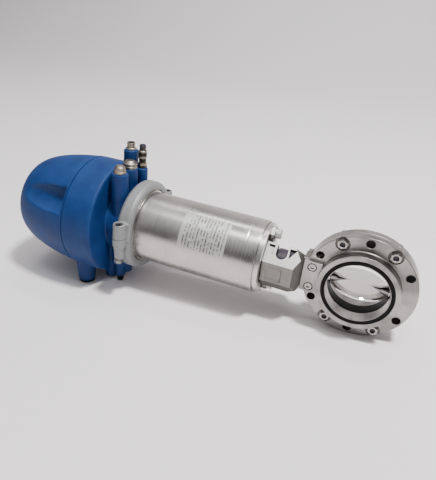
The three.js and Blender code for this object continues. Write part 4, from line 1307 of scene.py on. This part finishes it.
def plugConnector():
    f = fittingSizes
    top, centre = bossTop("plug")
    collar = hexHead(f["collarHex"], top + 0.3, top + 3.6, "Z", centre)
    barrel = turned("barrel", [(0, top + 3), (5.6, top + 3, 0.2), (5.6, top + 4.6, 0.2),
                               (f["socket"], top + 5.0, 0.2),
                               (f["socket"], top + 11, 0.4), (f["socketHole"], top + 11, 0.3),
                               (f["socketHole"], top + 5), (0, top + 5)], "Z", centre, 64)
    body = joined(collar, barrel)
    x, y = centre[:2]
    pins = []
    for eighths in (1, 3, 5, 7):
        angle = eighths * math.pi / 4
        spot = (x + f["pinCircle"] * math.cos(angle), y + f["pinCircle"] * math.sin(angle), 0)
        pins.append(rod(f["pin"], top + 4.5, top + 9.5, "Z", spot, 12, edge=0.2))
    return joined(body, *pins)


def connectorThread():
    f = fittingSizes
    top, centre = bossTop("plug")
    return turned("rim", [(0, top + 5.2), (f["socketHole"] - 0.1, top + 5.2),
                          (f["socketHole"] - 0.1, top + 10.4, 0.2),
                          (f["socketHole"] - 0.9, top + 10.4, 0.2), (f["socketHole"] - 0.9, top + 6.2),
                          (0, top + 6.2)], "Z", centre, 64)


def airFitting():
    f = fittingSizes
    top, centre = bossTop("air")
    base = hexHead(6.6, top + 0.3, top + 7.6, "Z", centre, 0.15)
    middle = turned("middle", [(0, top + 7), (5.0, top + 7), (5.0, top + 8.4, 0.2), (5.4, top + 8.8, 0.2),
                               (5.4, top + 13.4, 0.3),
                               (4.8, top + 14, 0.2), (6.0, top + 14.6, 0.3), (6.4, top + 15.4, 0.4),
                               (6.4, top + 26.2, 0.6),
                               (5.4, top + 27, 0.4), (0, top + 27)], "Z", centre, 64)
    return carved(joined(base, middle), rod(f["airTube"], top + 8, top + 40, "Z", centre, 32),
                  rod(5.0, top + 21, top + 40, "Z", centre, 48))


def airCollet():
    f = fittingSizes
    top, centre = bossTop("air")
    return turned("collet", [(f["airTube"], top + 23, 0.2), (4.7, top + 23, 0.2), (4.7, top + 29.6, 0.1),
                             (5.1, top + 30, 0.3),
                             (5.1, top + 34.6, 0.6), (4.4, top + 35, 0.3), (f["airTube"], top + 35, 0.5)],
                  "Z", centre, 64,
                  closed=True)


def ventCap():
    top, centre = bossTop("middle")
    return turned("vent", [(0, top + 0.3), (10.6, top + 0.3, 0.5), (10.6, top + 3.4, 0.7),
                           (9.6, top + 4.0, 0.3), (9.6, top + 4.8, 0.3),
                           (10.4, top + 5.4, 0.5), (10.4, top + 7.6, 1.6), (8.2, top + 9.0, 0.6),
                           (7.9, top + 9.6, 0.6), (6.0, top + 11.4, 2.0),
                           (0, top + 11.8)], "Z", centre, 72)


def silencerCap():
    top, centre = bossTop("long")
    return turned("silencer", [(0, top + 0.3), (8.8, top + 0.3, 0.4), (8.8, top + 3.2, 0.6),
                               (7.8, top + 3.8, 0.3), (7.8, top + 8.0, 2.2),
                               (5.2, top + 11.2, 2.2), (0, top + 12.3)], "Z", centre, 72)


def drainPlug():
    boss = bosses["drain"]
    low, centre = boss["low"], (boss["x"], boss["y"], 0)
    return turned("drain", [(0, drainTip), (4.0, drainTip, 0.8), (4.4, drainTip + 1.5, 0.4),
                            (5.3, low - 1.4, 0.4),
                            (5.3, low - 0.3, 0.2), (0, low - 0.3)], "Z", centre, 48)


def footPlug():
    f = footSizes
    footEnd = surfaceBelow(f["x"], f["low"])
    return turned("foot_plug", [(0, footEnd + 0.4), (f["foot"] - 4, footEnd + 0.4, 0.3),
                                (f["foot"] - 3, footEnd, 0.4),
                                (f["foot"] - 0.4, footEnd, 0.5), (f["foot"], footEnd + 1, 0.4),
                                (f["foot"], footEnd + f["footHigh"], 0.3),
                                (f["plug"], footEnd + f["footHigh"]),
                                (f["plug"], footEnd + 11, 0.5), (0, footEnd + 11)], "Z", sides=64)


finished(plugConnector(), "cable_connector", nickelPlate, "root", ["plug_connector"])
finished(connectorThread(), "connector_insert", darkPlastic, "root")
finished(airFitting(), "push_in_fitting", fittingMetal, "root", ["air_fitting"])
finished(airCollet(), "push_in_collet", darkPlastic, "collet", ["air_fitting_collet"])
finished(ventCap(), "vent_valve_cap", nickelPlate, "root", ["vent_cap"])
finished(silencerCap(), "silencer_cap", dullBrass, "root", ["exhaust_silencer"])
finished(drainPlug(), "drain_stopper", blackRubber, "root", ["drain_plug"])
twoOf("foot_stoppers", footPlug(), footSizes["y"], "Z", footSizes["x"], blackRubber,
      "foot_plug")
print("fittings done")

# Inner pieces keep their own shape and get a finish.
innerFinishes = {
    "stem_bush": whitePlastic, "trunnion_bush": whitePlastic, "end_plate_seal": blackRubber,
    "head_plate_seal": blackRubber, "piston": machinedAluminium, "piston_seal": blackRubber,
    "cam_sleeve": plateSteel, "spindle": plateSteel, "cam_pin": boltSteel, "guide_rod_1": plateSteel,
    "guide_rod_2": plateSteel, "signal_rod": plateSteel, "position_magnet": boltSteel,
    "cap_seal": blackRubber,
    "controller_board": boardGreen, "solenoid_valve": darkPlastic, "position_sensor": darkPlastic,
}
for node, finish in innerFinishes.items():
    mesh = frame["nodes"][node].data
    for k in range(max(1, len(mesh.materials))):
        if k < len(mesh.materials):
            mesh.materials[k] = finish
        else:
            mesh.materials.append(finish)
print("inner pieces painted")

# A pale sweep, three softboxes and a room that is dark at eye level.
studio = {
    "floor": (0.82, 0.785, 0.79, 1.0),
    "shade": 0.96,
    "worldStrength": 0.62,
    "eyeLevel": 0.2,
    "overhead": 0.8,
    "darkest": 0.1,
    "brightest": 1.0,
}


def backdrop():
    # a level floor that sweeps up to a wall far behind
    bm = bmesh.new()
    half = 6.0
    line = []
    for k in range(40):
        t = k / 39
        if t < 0.5:
            line.append((-4.0 + t * 2 * 6.0, 0.0))
        else:
            angle = (t - 0.5) * math.pi
            line.append((2.0 + 2.0 * math.sin(angle), 2.0 - 2.0 * math.cos(angle)))
    line.append((4.0, 5.0))
    one = [bm.verts.new((-half, y, z)) for y, z in line]
    two = [bm.verts.new((half, y, z)) for y, z in line]
    for k in range(len(line) - 1):
        bm.faces.new((one[k], two[k], two[k + 1], one[k + 1]))
    sheet = pieceFrom(bm, "backdrop")
    for face in sheet.data.polygons:
        face.use_smooth = True
    paper = Finish("backdrop_paper", Roughness=0.9)
    coordinates = paper.node("ShaderNodeTexCoord", output=3)
    soft = paper.noise(coordinates, scale=1.3, detail=2.0)
    tone = paper.mix(soft, studio["floor"],
                     tuple(c * studio["shade"] for c in studio["floor"][:3]) + (1.0,))
    sheet.data.materials.append(paper.drive(Base_Color=tone))


def softbox(name, spot, target, size, power, colour=(1.0, 1.0, 1.0)):
    light = bpy.data.lights.new(name, "AREA")
    light.shape = "RECTANGLE"
    light.size, light.size_y = size
    light.energy = power
    light.color = colour
    lamp = bpy.data.objects.new(name, light)
    bpy.context.scene.collection.objects.link(lamp)
    direction = Vector(target) - Vector(spot)
    lamp.matrix_world = Matrix.Translation(spot) @ direction.to_track_quat("-Z", "Y").to_matrix().to_4x4()


backdrop()
softbox("key_light", (0.95, -0.25, 2.75), (0.0, 0.0, 0.0), (0.35, 0.35), 125, (1.0, 0.985, 0.97))
softbox("overhead_light", (0.0, -0.6, 2.4), (0.0, 0.0, 0.0), (1.5, 0.45), 14, (0.99, 0.99, 1.0))
softbox("wall_light", (0.0, 1.2, 3.4), (0.0, 4.0, 1.2), (2.4, 0.8), 70)

world = bpy.data.worlds.new("studio_world")
bpy.context.scene.world = world
world.use_nodes = True
background = world.node_tree.nodes["Background"]
background.inputs[1].default_value = studio["worldStrength"]
# The room is dark at eye level and bright overhead, which puts bands on the round metal.
room = world.node_tree.nodes
direction = room.new("ShaderNodeTexCoord")
height = room.new("ShaderNodeSeparateXYZ")
shade = room.new("ShaderNodeMapRange")
shade.inputs[1].default_value, shade.inputs[2].default_value = studio["eyeLevel"], studio["overhead"]
shade.inputs[3].default_value, shade.inputs[4].default_value = studio["darkest"], studio["brightest"]
world.node_tree.links.new(direction.outputs[0], height.inputs[0])
world.node_tree.links.new(height.outputs[2], shade.inputs[0])
world.node_tree.links.new(shade.outputs[0], background.inputs[0])

# The camera's place and directions are given in the axes that the pieces are drawn in.
cameraSizes = {"spot": (-18.2, -551.3, 321.5), "right": (0.9250, 0.3680, 0.0970),
               "view": (-0.2810, 0.8330, -0.4760), "focalShare": 0.949, "sensor": 36.0}


def addCamera():
    c = cameraSizes
    view = Vector(c["view"]).normalized()
    right = (Vector(c["right"]) - view * Vector(c["right"]).dot(view)).normalized()
    up = right.cross(view)
    spot = placeInRow @ Vector(c["spot"])
    facing = valveAxes.to_3x3() @ Matrix((right, up, -view)).transposed()
    lens = bpy.data.cameras.new("studio_camera")
    lens.sensor_fit = "VERTICAL"
    lens.sensor_height = c["sensor"]
    lens.lens = c["sensor"] * c["focalShare"]
    lens.clip_start = 0.01
    camera = bpy.data.objects.new("studio_camera", lens)
    bpy.context.scene.collection.objects.link(camera)
    camera.matrix_world = Matrix.Translation(spot) @ facing.to_4x4()
    bpy.context.scene.camera = camera


addCamera()
print("studio and camera ready")
